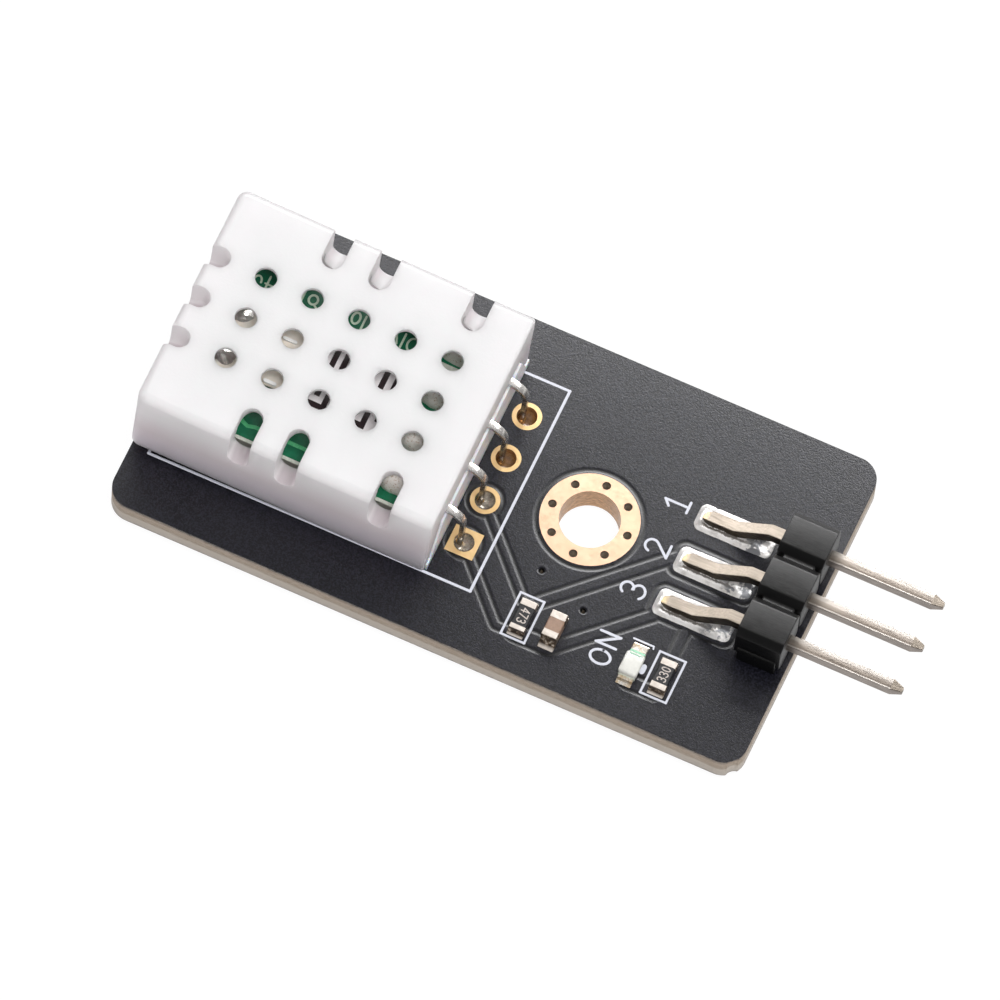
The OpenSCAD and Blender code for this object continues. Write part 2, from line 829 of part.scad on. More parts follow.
pcb();
mounting_ring();
sensor_shell();
sensor_base();
sensor_board();
sensor_chip();
thermistor();
humidity_element();
for (i = [1:2]) element_comb(i);
for (i = [1:2]) element_lead(i);
for (i = [1:leg_count]) sensor_leg(i);
for (i = [1:leg_count]) leg_joint(i);
for (i = [1:leg_count]) leg_pad(i);
for (i = [1:leg_count]) leg_solder(i);
resistor_body(resistor_1_at);  // resistor_1_body
for (i = [1:2]) resistor_end(resistor_1_at, i);
resistor_body(resistor_2_at);  // resistor_2_body
for (i = [1:2]) resistor_end(resistor_2_at, i);
capacitor_body();
for (i = [1:2]) capacitor_end(i);
led_base();
led_lens();
for (i = [1:2]) led_end(i);
header_body();
for (i = [1:pin_count]) header_pin(i);
for (i = [1:pin_count]) header_pad(i);
for (i = [1:pin_count]) header_solder(i);
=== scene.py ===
import math

import bmesh
import bpy
import numpy as np
from mathutils import Matrix, Vector, noise


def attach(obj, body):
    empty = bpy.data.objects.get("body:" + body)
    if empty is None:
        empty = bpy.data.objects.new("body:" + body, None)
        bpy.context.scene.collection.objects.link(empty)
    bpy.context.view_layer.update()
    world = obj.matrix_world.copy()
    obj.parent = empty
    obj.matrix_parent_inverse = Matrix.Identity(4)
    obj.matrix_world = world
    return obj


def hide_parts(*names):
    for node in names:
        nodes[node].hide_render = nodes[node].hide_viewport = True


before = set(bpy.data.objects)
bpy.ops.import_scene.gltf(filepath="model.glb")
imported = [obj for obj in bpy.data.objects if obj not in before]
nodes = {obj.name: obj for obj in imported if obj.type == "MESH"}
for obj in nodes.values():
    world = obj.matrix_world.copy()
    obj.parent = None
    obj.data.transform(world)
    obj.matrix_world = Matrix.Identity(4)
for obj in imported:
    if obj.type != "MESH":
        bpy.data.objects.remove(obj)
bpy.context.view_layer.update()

MM = 0.001
BODY = "root"
scene = bpy.context.scene

# Board, as the solids have it.
BOARD_TOP = 1.6
MASK = 0.042
INK_TOP = BOARD_TOP + MASK + 0.014
LEG_ROW_X = -5.14
PITCH = 2.54
LEG_YS = [3.81, 1.27, -1.27, -3.81]
PIN_YS = [2.54, 0.0, -2.54]
PAD_X0, PAD_X1, PAD_HALF, PAD_R = 4.7, 8.95, 0.8, 0.4
PIN_HALF = 0.32
INSULATOR_X = 9.4
SMALL_VIAS = [(-1.03, -3.56), (1.72, -4.66)]

# Sensor body, tilted on the board with its foot at the leg end.
TILT = math.radians(2.4)
TURN = math.radians(0.15)
FOOT_END = 7.825
SENSOR = (
    Matrix.Translation((-14.19, 0.10, BOARD_TOP + FOOT_END * math.sin(TILT)))
    @ Matrix.Rotation(TURN, 4, "Z")
    @ Matrix.Rotation(TILT, 4, "Y")
)

# In the sensor's own frame, from the middle of its vents at its foot.
INNER_TOP = 3.0
PLATE_TOP = INNER_TOP + 0.9
SHELL_MID_Y, SHELL_HALF_W = 0.11, 6.375
ROOF_RIM = 5.45
SLOT_XS = (-2.54, 0.0, 5.08)
SLOT_Y = -4.84


# Nodes of a material

def rgba(color):
    return (*color, 1.0) if len(color) == 3 else tuple(color)


def feed(tree, socket, value):
    """Links a socket to the one that is given, or sets it to a value."""
    if isinstance(value, bpy.types.NodeSocket):
        tree.links.new(value, socket)
    else:
        socket.default_value = rgba(value) if socket.type == "RGBA" else value


def put(tree, kind, inputs=None, **settings):
    """Adds a shader node with what feeds its inputs."""
    new = tree.nodes.new("ShaderNode" + kind)
    for key, value in settings.items():
        setattr(new, key, value)
    for key, value in (inputs or {}).items():
        feed(tree, new.inputs[key], value)
    return new


class Shade:
    """A Principled material whose patterns are measured in millimetres on the object."""

    def __init__(self, name, color, roughness, metallic=0.0, **fixed):
        self.material = bpy.data.materials.new(name)
        self.material.use_nodes = True
        self.tree = self.material.node_tree
        self.bsdf = self.tree.nodes["Principled BSDF"]
        self.set("Base Color", color)
        self.set("Roughness", roughness)
        self.set("Metallic", metallic)
        for key, value in fixed.items():
            self.set(key.replace("_", " ").title().replace("Ior", "IOR"), value)
        coords = put(self.tree, "TexCoord").outputs["Object"]
        self.place = put(self.tree, "VectorMath", {0: coords, "Scale": 1 / MM},
                         operation="SCALE").outputs[0]
        self.normal = None

    def set(self, key, value):
        feed(self.tree, self.bsdf.inputs[key], value)

    def noise(self, per_mm, detail=3.0, rough=0.5, stretch=(1.0, 1.0, 1.0)):
        """A noise, finer along an axis whose stretch is greater."""
        place = put(self.tree, "VectorMath", {0: self.place, 1: stretch}, operation="MULTIPLY")
        return put(self.tree, "TexNoise",
                   {"Vector": place.outputs[0], "Scale": per_mm, "Detail": detail,
                    "Roughness": rough}).outputs["Fac"]

    def ramp(self, factor, stops):
        """Maps a factor over stops of (position, colour or grey)."""
        new = put(self.tree, "ValToRGB", {"Fac": factor})
        elements = new.color_ramp.elements
        while len(elements) < len(stops):
            elements.new(0.5)
        for element, (position, color) in zip(elements, stops):
            element.position = position
            element.color = rgba(color) if hasattr(color, "__len__") else (color,) * 3 + (1.0,)
        return new.outputs["Color"]

    def mix(self, factor, first, second):
        inputs = {0: factor, 6: first, 7: second}
        return put(self.tree, "Mix", inputs, data_type="RGBA").outputs[2]

    def math(self, operation, first, second=0.0, clamp=False):
        return put(self.tree, "Math", {0: first, 1: second}, operation=operation,
                   use_clamp=clamp).outputs[0]

    def strayed(self, value, noise, reach):
        """A value that a noise moves to either side."""
        off = self.math("MULTIPLY", self.math("SUBTRACT", noise, 0.5), reach)
        return self.math("ADD", value, off)

    def split(self, vector):
        return put(self.tree, "SeparateXYZ", {0: vector}).outputs

    def facing(self, axis=2):
        """How far the surface turns towards an axis, without a sign."""
        normal = put(self.tree, "NewGeometry").outputs["Normal"]
        return self.math("ABSOLUTE", self.split(normal)[axis])

    def turned(self, low, high, axis=2):
        """From 0 to 1 as the surface turns towards an axis."""
        return self.ramp(self.facing(axis), [(low, 0.0), (high, 1.0)])

    def level(self, axis, low, high):
        """The place along an axis, from 0 at low to 1 at high."""
        above = self.math("SUBTRACT", self.split(self.place)[axis], low)
        return self.math("DIVIDE", above, high - low, True)

    def fade(self, axis, low, high):
        """The place along an axis, from 1 at low to 0 at high."""
        return self.ramp(self.level(axis, low, high), [(0.0, 1.0), (1.0, 0.0)])

    def across_pin(self):
        """The place across the header pin that is nearest, from its middle."""
        return put(self.tree, "Math", {0: self.split(self.place)[1], 1: PITCH / 2, 2: -PITCH / 2},
                   operation="WRAP").outputs[0]

    def bump(self, height, depth_mm, strength=1.0):
        """Adds relief. Each call rides on the one before it."""
        inputs = {"Height": height, "Distance": depth_mm * MM, "Strength": strength}
        if self.normal:
            inputs["Normal"] = self.normal
        self.normal = put(self.tree, "Bump", inputs).outputs["Normal"]
        self.set("Normal", self.normal)

    def roughen(self, factor, low, high, end=0.7):
        """Lets the roughness go from low to high with a factor."""
        self.set("Roughness", self.ramp(factor, [(0.3, low), (end, high)]))


def tone(color, factor):
    return tuple(min(c * factor, 1.0) for c in color)


# Materials

def shell_plastic():
    """White moulding with painted shade: pinkish walls that pale upwards and darken towards the
    foot, and painted darker on the floors of its slots.
    """
    s = Shade("shell_white", (0.885, 0.87, 0.88), 0.46, specular_ior_level=0.4,
              subsurface_weight=0.8, subsurface_scale=1.5 * MM,
              subsurface_radius=(1.0, 0.93, 0.96))
    roof = s.ramp(s.noise(0.35, 2.0), [(0.3, (0.885, 0.865, 0.876)), (0.7, (0.905, 0.888, 0.897))])
    # painted shade: the walls are tinted pinkish and darker towards the foot
    side = s.ramp(s.level(2, 2.4, 6.6), [
        (0.05, (0.85, 0.775, 0.85)), (0.45, (0.845, 0.77, 0.795)), (0.9, (0.995, 0.93, 0.945))])
    # painted shade on the sloping floors of the slots
    floor = s.math("MULTIPLY", s.turned(0.5, 0.75), s.fade(2, 5.9, 6.15))
    floor = s.math("MULTIPLY", floor, s.fade(1, 3.0, 4.0))
    base = s.mix(s.turned(0.6, 0.95), side, roof)
    s.set("Base Color", s.mix(floor, base, (0.68, 0.61, 0.635)))
    s.roughen(s.noise(3.0), 0.42, 0.52)
    s.bump(s.noise(7.0, 4.0, 0.6), 0.005)
    return s.material


def solder_mask(name, with_edge):
    """Black satin lacquer. The board's own sides show the layered laminate."""
    s = Shade(name, (0.008, 0.008, 0.011), 0.3, specular_ior_level=0.48)
    grain = s.noise(12.5, 2.0, 0.6)
    top = s.ramp(grain, [(0.42, (0.001, 0.001, 0.003)), (0.6, (0.013, 0.013, 0.021))])
    rough = s.ramp(s.noise(5.0, 4.0, 0.65), [(0.3, 0.28), (0.75, 0.36)])
    if with_edge:
        side = s.math("LESS_THAN", s.facing(), 0.5)
        height = s.math("DIVIDE", s.split(s.place)[2], BOARD_TOP)
        layer = s.strayed(height, s.noise(1.2, 4.0, 0.6, (1.0, 1.0, 4.0)), 0.16)
        laminate = s.ramp(layer, [
            (0.0, (0.18, 0.16, 0.14)), (0.07, (0.54, 0.50, 0.44)), (0.42, (0.60, 0.55, 0.47)),
            (0.52, (0.36, 0.29, 0.21)), (0.78, (0.42, 0.33, 0.24)), (0.90, (0.25, 0.19, 0.14)),
            (0.965, (0.012, 0.012, 0.014))])
        fibres = s.noise(3.0, 5.0, 0.7, (1.2, 1.2, 14.0))
        laminate = s.mix(s.ramp(fibres, [(0.42, 0.0), (0.62, 0.55)]), laminate, (0.70, 0.64, 0.56))
        top = s.mix(side, top, laminate)
        rough = s.mix(side, rough, (0.75, 0.75, 0.75))
        s.bump(fibres, 0.02, 0.6)
    else:
        # painted shade: the mask is darker where it dips along the copper's edges and into the via
        # holes, and rougher there
        low = s.ramp(s.level(2, BOARD_TOP, BOARD_TOP + MASK), [(0.3, 1.0), (0.85, 0.0)])
        top = s.mix(low, top, (0.0015, 0.0015, 0.002))
        rough = s.mix(low, rough, (0.5, 0.5, 0.5))
    s.set("Base Color", top)
    s.set("Roughness", rough)
    s.bump(grain, 0.011)
    return s.material


def gold(name, dark, light, metallic):
    """Satin plating with painted shade: browner down the walls of the holes and on other steep
    faces.
    """
    s = Shade(name, light, 0.38, metallic)
    face = s.ramp(s.noise(1.2, 2.0), [(0.3, dark), (0.7, light)])
    ribs = s.noise(4.0, 3.0, 0.6, (1.0, 1.0, 3.5))
    # painted shade: steep faces, such as the walls of the holes, are painted brown
    wall = s.ramp(ribs, [(0.38, (0.38, 0.21, 0.09)), (0.62, (0.68, 0.41, 0.20))])
    s.set("Base Color", s.mix(s.math("LESS_THAN", s.facing(), 0.6), face, wall))
    s.roughen(s.noise(4.0), 0.3, 0.42, 0.75)
    s.bump(s.noise(5.0, 2.0), 0.003)
    return s.material


def tinned(name, dark, light, rough, per_mm, relief, metallic):
    """Cloudy metal between two tones."""
    s = Shade(name, light, rough[0], metallic)
    patches = s.noise(per_mm, 4.0, 0.6)
    s.set("Base Color", s.ramp(patches, [(0.32, dark), (0.62, light)]))
    s.roughen(s.noise(per_mm * 1.7), *rough)
    s.bump(s.noise(per_mm * 1.4, 4.0, 0.6), relief)
    return s.material


def pad_tin():
    """Bright uneven solder, pale at its rim, with a ragged painted shadow along the side of a foot.
    """
    s = Shade("solder", (0.85, 0.82, 0.79), 0.4, 0.3)
    patches = s.noise(1.6, 4.0, 0.65)
    face = s.ramp(patches, [(0.34, (0.72, 0.695, 0.665)), (0.5, (0.95, 0.925, 0.90)),
                            (0.66, (0.98, 0.965, 0.95))])
    # painted shadow: a dark ragged band beside the foot, where the foot shades the solder
    ragged = s.strayed(s.across_pin(), s.noise(3.2, 4.0, 0.75), 0.5)
    foot_shadow = s.ramp(s.math("ADD", ragged, 1.0), [
        (0.47, 0.0), (0.53, 1.0), (0.66, 1.0), (0.70, 0.0)])
    lengthwise = s.ramp(s.level(0, 4.9, 8.2), [(0.0, 0.0), (0.1, 0.85), (0.7, 0.8), (1.0, 0.0)])
    grey = s.math("MULTIPLY", s.ramp(s.noise(1.5, 3.0, 0.6), [(0.47, 0.0), (0.53, 1.0)]),
                  s.level(0, 7.2, 7.8))
    face = s.mix(grey, face, (0.26, 0.265, 0.28))
    face = s.mix(s.math("MULTIPLY", foot_shadow, lengthwise), face, (0.09, 0.07, 0.05))
    s.set("Base Color", face)
    s.roughen(s.noise(2.7), 0.3, 0.5)
    s.bump(s.noise(2.6, 5.0, 0.7), 0.05)
    return s.material


def leg_metal():
    """Tinned strip with painted reflection: bright where it leaves the sensor and darker down to
    its hole, where it mirrors the dark board.
    """
    s = Shade("tinned_leg", (0.7, 0.68, 0.65), 0.26, 0.9)
    # painted reflection: the strip is painted bright at its top, dark down its middle and brown
    # near the hole
    down = s.ramp(s.level(2, 0.6, 4.8), [
        (0.0, (0.50, 0.36, 0.20)), (0.22, (0.40, 0.31, 0.20)), (0.34, (0.16, 0.155, 0.15)),
        (0.66, (0.22, 0.22, 0.225)), (0.9, (0.62, 0.60, 0.57)), (1.0, (0.78, 0.76, 0.73))])
    streaks = s.ramp(s.noise(3.0, 3.0, 0.6, (1.0, 3.0, 0.8)), [(0.46, 0.0), (0.64, 0.6)])
    s.set("Base Color", s.mix(streaks, down, (0.70, 0.68, 0.65)))
    s.bump(s.noise(3.0, 2.0, 0.5, (1.0, 2.0, 1.0)), 0.006)
    return s.material


def pin_metal():
    """Drawn square wire with painted light: pale highlights at its edges and painted shade on its
    sides. Behind the insulator, the foot is painted pale on top, brown with painted shade on its
    slope, brown at its toe, and nearly black down its sides as painted shadow."""
    s = Shade("pin_plating", (0.42, 0.37, 0.33), 0.36, 0.85)
    foot = s.fade(0, INSULATOR_X - 0.2, INSULATOR_X + 0.1)
    place = s.math("ADD", s.math("MULTIPLY", s.across_pin(), 0.5 / PIN_HALF), 0.5)
    grain = s.noise(2.2, 4.0, 0.65, (0.5, 4.0, 4.0))
    # painted highlights and shade: stripes across the top stand in for light along the wire's edges
    top = s.ramp(s.strayed(place, grain, 0.12), [
        (0.0, (0.80, 0.74, 0.68)), (0.10, (0.74, 0.69, 0.63)), (0.16, (0.17, 0.14, 0.12)),
        (0.24, (0.15, 0.125, 0.105)), (0.34, (0.24, 0.205, 0.175)), (0.55, (0.33, 0.29, 0.255)),
        (0.68, (0.55, 0.505, 0.46)), (0.9, (0.58, 0.54, 0.50)), (0.97, (0.40, 0.37, 0.34))])
    side = s.ramp(grain, [(0.35, (0.20, 0.17, 0.15)), (0.65, (0.34, 0.30, 0.27))])
    pale = s.ramp(grain, [(0.35, (0.60, 0.57, 0.53)), (0.65, (0.74, 0.715, 0.685))])
    # painted highlight: the foot's top is pale
    top = s.mix(foot, top, pale)
    # painted shade on the foot's slope
    slope = s.ramp(grain, [(0.35, (0.215, 0.185, 0.15)), (0.65, (0.29, 0.25, 0.21))])
    top = s.mix(s.turned(0.12, 0.26, 0), top, slope)
    top = s.mix(s.ramp(s.level(0, 4.95, 5.5), [(0.2, 1.0), (0.85, 0.0)]), top, (0.40, 0.31, 0.17))
    # painted shadow: the foot's sides are nearly black
    dark = s.ramp(grain, [(0.4, (0.030, 0.022, 0.014)), (0.65, (0.15, 0.12, 0.085))])
    side = s.mix(foot, side, dark)
    # painted shade: the sides are darker than the top
    s.set("Base Color", s.mix(s.turned(0.55, 0.85, 1), top, side))
    s.roughen(grain, 0.28, 0.42)
    s.bump(grain, 0.004, 0.7)
    return s.material


def chip_metal():
    """Tinned cap of a chip part: pale on top, with painted shade down its sides and painted glints
    on them.
    """
    s = Shade("chip_end", (0.8, 0.74, 0.68), 0.44, 0.35)
    top = s.ramp(s.noise(4.0, 2.0), [(0.3, (0.56, 0.50, 0.44)), (0.7, (0.70, 0.64, 0.58))])
    # painted shade and painted glints down the sides of the cap
    side = s.ramp(s.noise(4.5, 3.0, 0.6), [(0.44, (0.05, 0.036, 0.026)), (0.56, (0.22, 0.16, 0.11)),
                                           (0.68, (0.80, 0.72, 0.62))])
    s.set("Base Color", s.mix(s.turned(0.72, 0.95), side, top))
    s.bump(s.noise(4.0), 0.01)
    return s.material


def inner_solder():
    """Flux-covered solder with a grainy skin."""
    s = Shade("inner_solder", (0.9, 0.83, 0.74), 0.3)
    pits = s.noise(8.0, 4.0, 0.65)
    s.set("Base Color", s.ramp(pits, [(0.36, (0.60, 0.48, 0.37)), (0.44, (1.0, 0.95, 0.88)),
                                      (0.62, (1.0, 0.97, 0.91))]))
    s.bump(pits, 0.007, 0.8)
    return s.material


def plain(name, color, rough, per_mm=4.0, spread=0.12, relief=0.006, **fixed):
    """An opaque material with a soft change of tone and a fine relief."""
    s = Shade(name, color, rough, **fixed)
    s.set("Base Color", s.ramp(s.noise(per_mm, 3.0, 0.6),
                               [(0.3, tone(color, 1 - spread)), (0.7, tone(color, 1 + spread))]))
    s.roughen(s.noise(per_mm * 0.8), rough * 0.85, min(rough * 1.2, 1.0))
    s.bump(s.noise(per_mm * 2.0), relief)
    return s.material


def header_plastic():
    """Black moulding, its top scored by fine streaks along the pins."""
    s = Shade("header_black", (0.006, 0.006, 0.006), 0.34, specular_ior_level=0.32)
    streaks = s.noise(3.0, 4.0, 0.75, (0.7, 9.0, 9.0))
    top = s.ramp(streaks, [(0.38, (0.004, 0.004, 0.004)), (0.66, (0.0165, 0.016, 0.0155))])
    s.set("Base Color", s.mix(s.turned(0.8, 0.97), (0.004, 0.004, 0.004), top))
    s.roughen(streaks, 0.3, 0.5)
    s.bump(streaks, 0.012, 0.7)
    return s.material


def resin():
    """Pale cloudy potting resin, faintly layered."""
    s = Shade("potting_resin", (0.84, 0.81, 0.83), 0.42, subsurface_weight=0.4,
              subsurface_scale=0.8 * MM)
    layers = s.noise(1.3, 3.0, 0.6, (0.5, 0.5, 2.4))
    s.set("Base Color", s.ramp(layers, [(0.32, (0.76, 0.71, 0.73)), (0.5, (0.88, 0.84, 0.86)),
                                        (0.68, (0.93, 0.90, 0.915))]))
    s.bump(layers, 0.012)
    return s.material


def green_board():
    """Green lacquer on its faces and pale laminate at its cut sides."""
    s = Shade("sensor_board_green", (0.012, 0.20, 0.09), 0.3, specular_ior_level=0.5)
    weave = s.noise(3.0)
    face = s.ramp(weave, [(0.3, (0.006, 0.14, 0.064)), (0.7, (0.013, 0.20, 0.095))])
    side = s.math("LESS_THAN", s.facing(), 0.5)
    s.set("Base Color", s.mix(side, face, (0.62, 0.64, 0.56)))
    s.bump(weave, 0.006)
    return s.material


MATERIALS = {
    "shell": shell_plastic(),
    "board": solder_mask("board_black", True),
    "mask": solder_mask("solder_mask_black", False),
    "gold": gold("gold_plating", (0.90, 0.575, 0.375), (0.94, 0.615, 0.415), 0.35),
    "pad_gold": gold("leg_pad_gold", (0.76, 0.50, 0.22), (0.86, 0.61, 0.31), 0.5),
    "leg": leg_metal(),
    "lead": tinned("element_lead", (0.94, 0.84, 0.71), (1.0, 0.94, 0.85), (0.3, 0.4), 1.6, 0.006,
                   0.05),
    "pin": pin_metal(),
    "solder": pad_tin(),
    "bright_solder": tinned("bright_solder", (0.36, 0.32, 0.27), (0.97, 0.95, 0.92), (0.12, 0.24),
                            0.9, 0.03, 0.9),
    "inner_solder": inner_solder(),
    "chip_end": chip_metal(),
    "chip": plain("chip_black", (0.014, 0.014, 0.016), 0.35, 5.0, 0.3),
    "header": header_plastic(),
    "resin": resin(),
    "green": green_board(),
    "ceramic": plain("element_ceramic", (0.97, 0.93, 0.935), 0.5, 5.0, 0.03),
    # painted highlight: near-white strokes laid on the leads
    "painted_highlight": plain("painted_highlight_line", (1.0, 0.99, 0.97), 0.3, 4.0, 0.02),
    "electrode": plain("electrode_brown", (0.022, 0.012, 0.013), 0.5, 5.0, 0.25),
    "capacitor": plain("capacitor_ceramic", (0.36, 0.23, 0.16), 0.4, 4.0, 0.14),
    "led_base": plain("led_carrier", (0.62, 0.66, 0.55), 0.4, 4.0, 0.1),
    "led_lens": plain("led_resin", (0.86, 0.86, 0.80), 0.3, 2.5, 0.07),
    "led_mark": plain("led_mark", (0.30, 0.62, 0.42), 0.35, 3.0, 0.2),
    "led_end": tinned("led_terminal", (0.70, 0.50, 0.26), (0.93, 0.90, 0.84), (0.2, 0.34), 3.0,
                      0.012, 0.7),
    "flux": plain("flux_brown", (0.17, 0.085, 0.03), 0.25, 3.0, 0.5, coat_weight=0.3),
    "dull_solder": plain("dull_solder", (0.26, 0.23, 0.19), 0.24, 3.0, 0.6, metallic=0.5),
    "bead": plain("gold_bead", (0.80, 0.56, 0.26), 0.22, 4.0, 0.1, metallic=0.8),
    "code": plain("printed_code", (0.62, 0.55, 0.50), 0.5, 6.0, 0.08, 0.004),
    "glass": plain("thermistor_glaze", (0.05, 0.06, 0.05), 0.2, 4.0, 0.2, coat_weight=0.4),
    "ink": plain("printed_ink", (0.72, 0.74, 0.82), 0.55, 6.0, 0.05, 0.01),
    "inner_ink": plain("inner_print", (0.80, 0.92, 0.74), 0.5, 6.0, 0.05),
    "track": plain("covered_track", (0.11, 0.55, 0.24), 0.3, 5.0, 0.08),
    "bare": plain("bare_laminate", (0.72, 0.74, 0.66), 0.6, 5.0, 0.15),
}


# Meshes

def paint(mesh, material):
    mesh.materials.clear()
    mesh.materials.append(MATERIALS[material])


def linked(name, data):
    obj = bpy.data.objects.new(name, data)
    scene.collection.objects.link(obj)
    return obj


def finish_piece(name, mesh, material, replaced, angle):
    """Makes an object of a mesh, gives it its look and its body, and hides the nodes it replaces.
    """
    obj = linked(name, mesh)
    paint(mesh, material)
    obj.data.shade_smooth()
    obj.data.set_sharp_from_angle(angle=math.radians(angle))
    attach(obj, BODY)
    if replaced:
        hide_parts(*replaced)
    return obj


def formed(name, form, material, replaced, angle):
    """Makes a piece from a form in metres, which it frees."""
    mesh = bpy.data.meshes.new(name)
    form.to_mesh(mesh)
    form.free()
    return finish_piece(name, mesh, material, replaced, angle)


def ring_faces(a, b, count):
    """Faces between two rings of points that start at a and at b."""
    return [(a + k, b + k, b + (k + 1) % count, a + (k + 1) % count) for k in range(count)]


def box_corners(x0, y0, x1, y1):
    return [(x0, y0), (x1, y0), (x1, y1), (x0, y1)]


def new_piece(name, verts, faces, material, replaced=(), angle=35, place=None):
    """Makes a piece from points in millimetres, placed by a matrix in millimetres."""
    points = [Vector(v) for v in verts]
    if place is not None:
        points = [place @ p for p in points]
    mesh = bpy.data.meshes.new(name)
    mesh.from_pydata([p * MM for p in points], [], faces)
    mesh.update()
    return finish_piece(name, mesh, material, replaced, angle)


def weigh_normals(mesh):
    """Turns each corner's normal to the largest faces that meet there without a crease."""
    crease = math.cos(math.radians(50))
    around = [[] for _ in mesh.vertices]
    for face in mesh.polygons:
        for v in face.vertices:
            around[v].append((face.normal.copy(), face.area))
    normals = []
    for face in mesh.polygons:
        for v in face.vertices:
            near = [normal * area for normal, area in around[v] if normal.dot(face.normal) > crease]
            normals.append(sum(near, Vector((0, 0, 0))).normalized())
    mesh.normals_split_custom_set(normals)


def rounded(node, width, material, segments=2, angle=35, shape=None, flat=False, folds=True,
            outer=None):
    """A copy of a node with its sharp edges rounded, shown instead of the node.

    Edges picked by outer are rounded twice as wide, those across a bend only with folds,
    and shape moves the points at the end.
    """
    form = bmesh.new()
    form.from_mesh(nodes[node].data)
    bmesh.ops.remove_doubles(form, verts=form.verts, dist=0.0005 * MM)
    bmesh.ops.dissolve_limit(form, angle_limit=math.radians(0.6), verts=form.verts,
                             edges=form.edges, use_dissolve_boundaries=False)
    sharp = [e for e in form.edges
             if len(e.link_faces) == 2 and e.calc_face_angle(0) > math.radians(30)
             and (folds or abs((e.verts[1].co - e.verts[0].co).normalized().y) < 0.5)]
    wide = [e for e in sharp if outer and outer(e)]
    for edges, offset in ((wide, 2 * width), ([e for e in sharp if e not in wide], width)):
        edges = [e for e in edges if e.is_valid]
        if edges:
            bmesh.ops.bevel(form, geom=edges, offset=offset * MM, segments=segments, profile=0.5,
                            affect="EDGES", clamp_overlap=True)
    bmesh.ops.recalc_face_normals(form, faces=form.faces)
    if shape:
        for v in form.verts:
            v.co = Vector(shape(*(v.co / MM))) * MM
    obj = formed(node + "_form", form, material, (node,), angle)
    if flat:
        weigh_normals(obj.data)


def block(name, x0, x1, profile, material, replaced=(), chamfer=0.03, place=None, angle=30):
    """A body with a profile in Y and Z, drawn in a little at its two sides."""
    points = np.array(profile)
    mid = (points.min(0) + points.max(0)) / 2
    half = points.max(0) - mid
    verts, faces = [], []
    count = len(profile)
    for x, drawn in ((x0, 1), (x0 + chamfer, 0), (x1 - chamfer, 0), (x1, 1)):
        ring = mid + (points - mid) * (1 - drawn * chamfer / half)
        verts += [(x, y, z) for y, z in ring]
    for ring in range(3):
        a, b = ring * count, (ring + 1) * count
        faces += [(a + k, a + (k + 1) % count, b + (k + 1) % count, b + k) for k in range(count)]
    faces.append(tuple(range(count))[::-1])
    faces.append(tuple(range(3 * count, 4 * count)))
    mesh = new_piece(name, verts, faces, material, replaced, angle, place).data
    form = bmesh.new()
    form.from_mesh(mesh)
    bmesh.ops.recalc_face_normals(form, faces=form.faces)
    form.to_mesh(mesh)
    form.free()


def sheet(name, top, low, material, replaced=(), keep=None, angle=75):
    """A closed thin body from a grid of top points and a grid of points under them."""
    rows, cols = top.shape[:2]
    count = rows * cols
    verts = np.concatenate([top.reshape(-1, 3), low.reshape(-1, 3)])
    cells = np.ones((rows - 1, cols - 1), bool) if keep is None else keep
    index = np.arange(count).reshape(rows, cols)
    where = list(zip(*np.nonzero(cells)))
    quads = [(index[r, c], index[r, c + 1], index[r + 1, c + 1], index[r + 1, c]) for r, c in where]
    faces = []
    for quad in quads:
        faces += [quad, [v + count for v in quad[::-1]]]
    padded = np.pad(cells, 1)
    for quad, (r, c) in zip(quads, where):
        beside = padded[r, c + 1], padded[r + 1, c + 2], padded[r + 2, c + 1], padded[r + 1, c]
        for k in range(4):
            if not beside[k]:
                a, b = quad[k], quad[(k + 1) % 4]
                faces.append((b, a, a + count, b + count))
    used = np.unique(np.array([i for f in faces for i in f]))
    renumber = np.full(2 * count, -1)
    renumber[used] = np.arange(len(used))
    faces = [tuple(int(renumber[i]) for i in f) for f in faces]
    new_piece(name, verts[used].tolist(), faces, material, replaced, angle)


def stroke_form(points, width, z_low, z_top):
    """Points and faces of one line of ink with round ends."""
    line = np.array(points, float)
    half = width / 2
    steps = [0.0, 0.5, 0.85, 1.0]

    def cap(end, before):
        way = (end - before) / np.linalg.norm(end - before)
        return [end + way * half * s for s in steps]
    path = np.array(cap(line[0], line[1])[::-1] + list(line[1:-1]) + cap(line[-1], line[-2]))
    scale = [math.sqrt(max(1 - s * s, 0.0004)) for s in steps]
    widths = np.array(scale[::-1] + [1.0] * (len(line) - 2) + scale) * half
    along = np.gradient(path, axis=0)
    along /= np.linalg.norm(along, axis=1)[:, None]
    across = np.stack([-along[:, 1], along[:, 0]], 1)
    verts, faces = [], []
    for p, n, w in zip(path, across, widths):
        for side, z in ((-1, z_low), (-0.8, z_top), (0.8, z_top), (1, z_low)):
            q = p + n * w * side
            verts.append((q[0], q[1], z))
    end = 4 * (len(path) - 1)
    for k in range(0, end, 4):
        faces += ring_faces(k, k + 4, 4)
    faces.append((0, 1, 2, 3))
    faces.append((end + 3, end + 2, end + 1, end))
    return verts, faces


def inked(name, strokes, material="ink", z_low=BOARD_TOP, z_top=INK_TOP, place=None):
    """One printed piece from strokes of (points, width)."""
    verts, faces = [], []
    for k, (points, width) in enumerate(strokes):
        v, f = stroke_form(points, width, z_low, z_top + 0.0012 * k)
        faces += [tuple(i + len(verts) for i in face) for face in f]
        verts += v
    new_piece(name, verts, faces, material, (), 30, place)


def arc(cx, cy, rx, ry, start, end, count=14):
    return [(cx + rx * math.cos(math.radians(a)), cy + ry * math.sin(math.radians(a)))
            for a in np.linspace(start, end, count)]


def box_strokes(x0, y0, x1, y1, width):
    corners = box_corners(x0, y0, x1, y1)
    return [([corners[k], corners[(k + 1) % 4]], width) for k in range(4)]


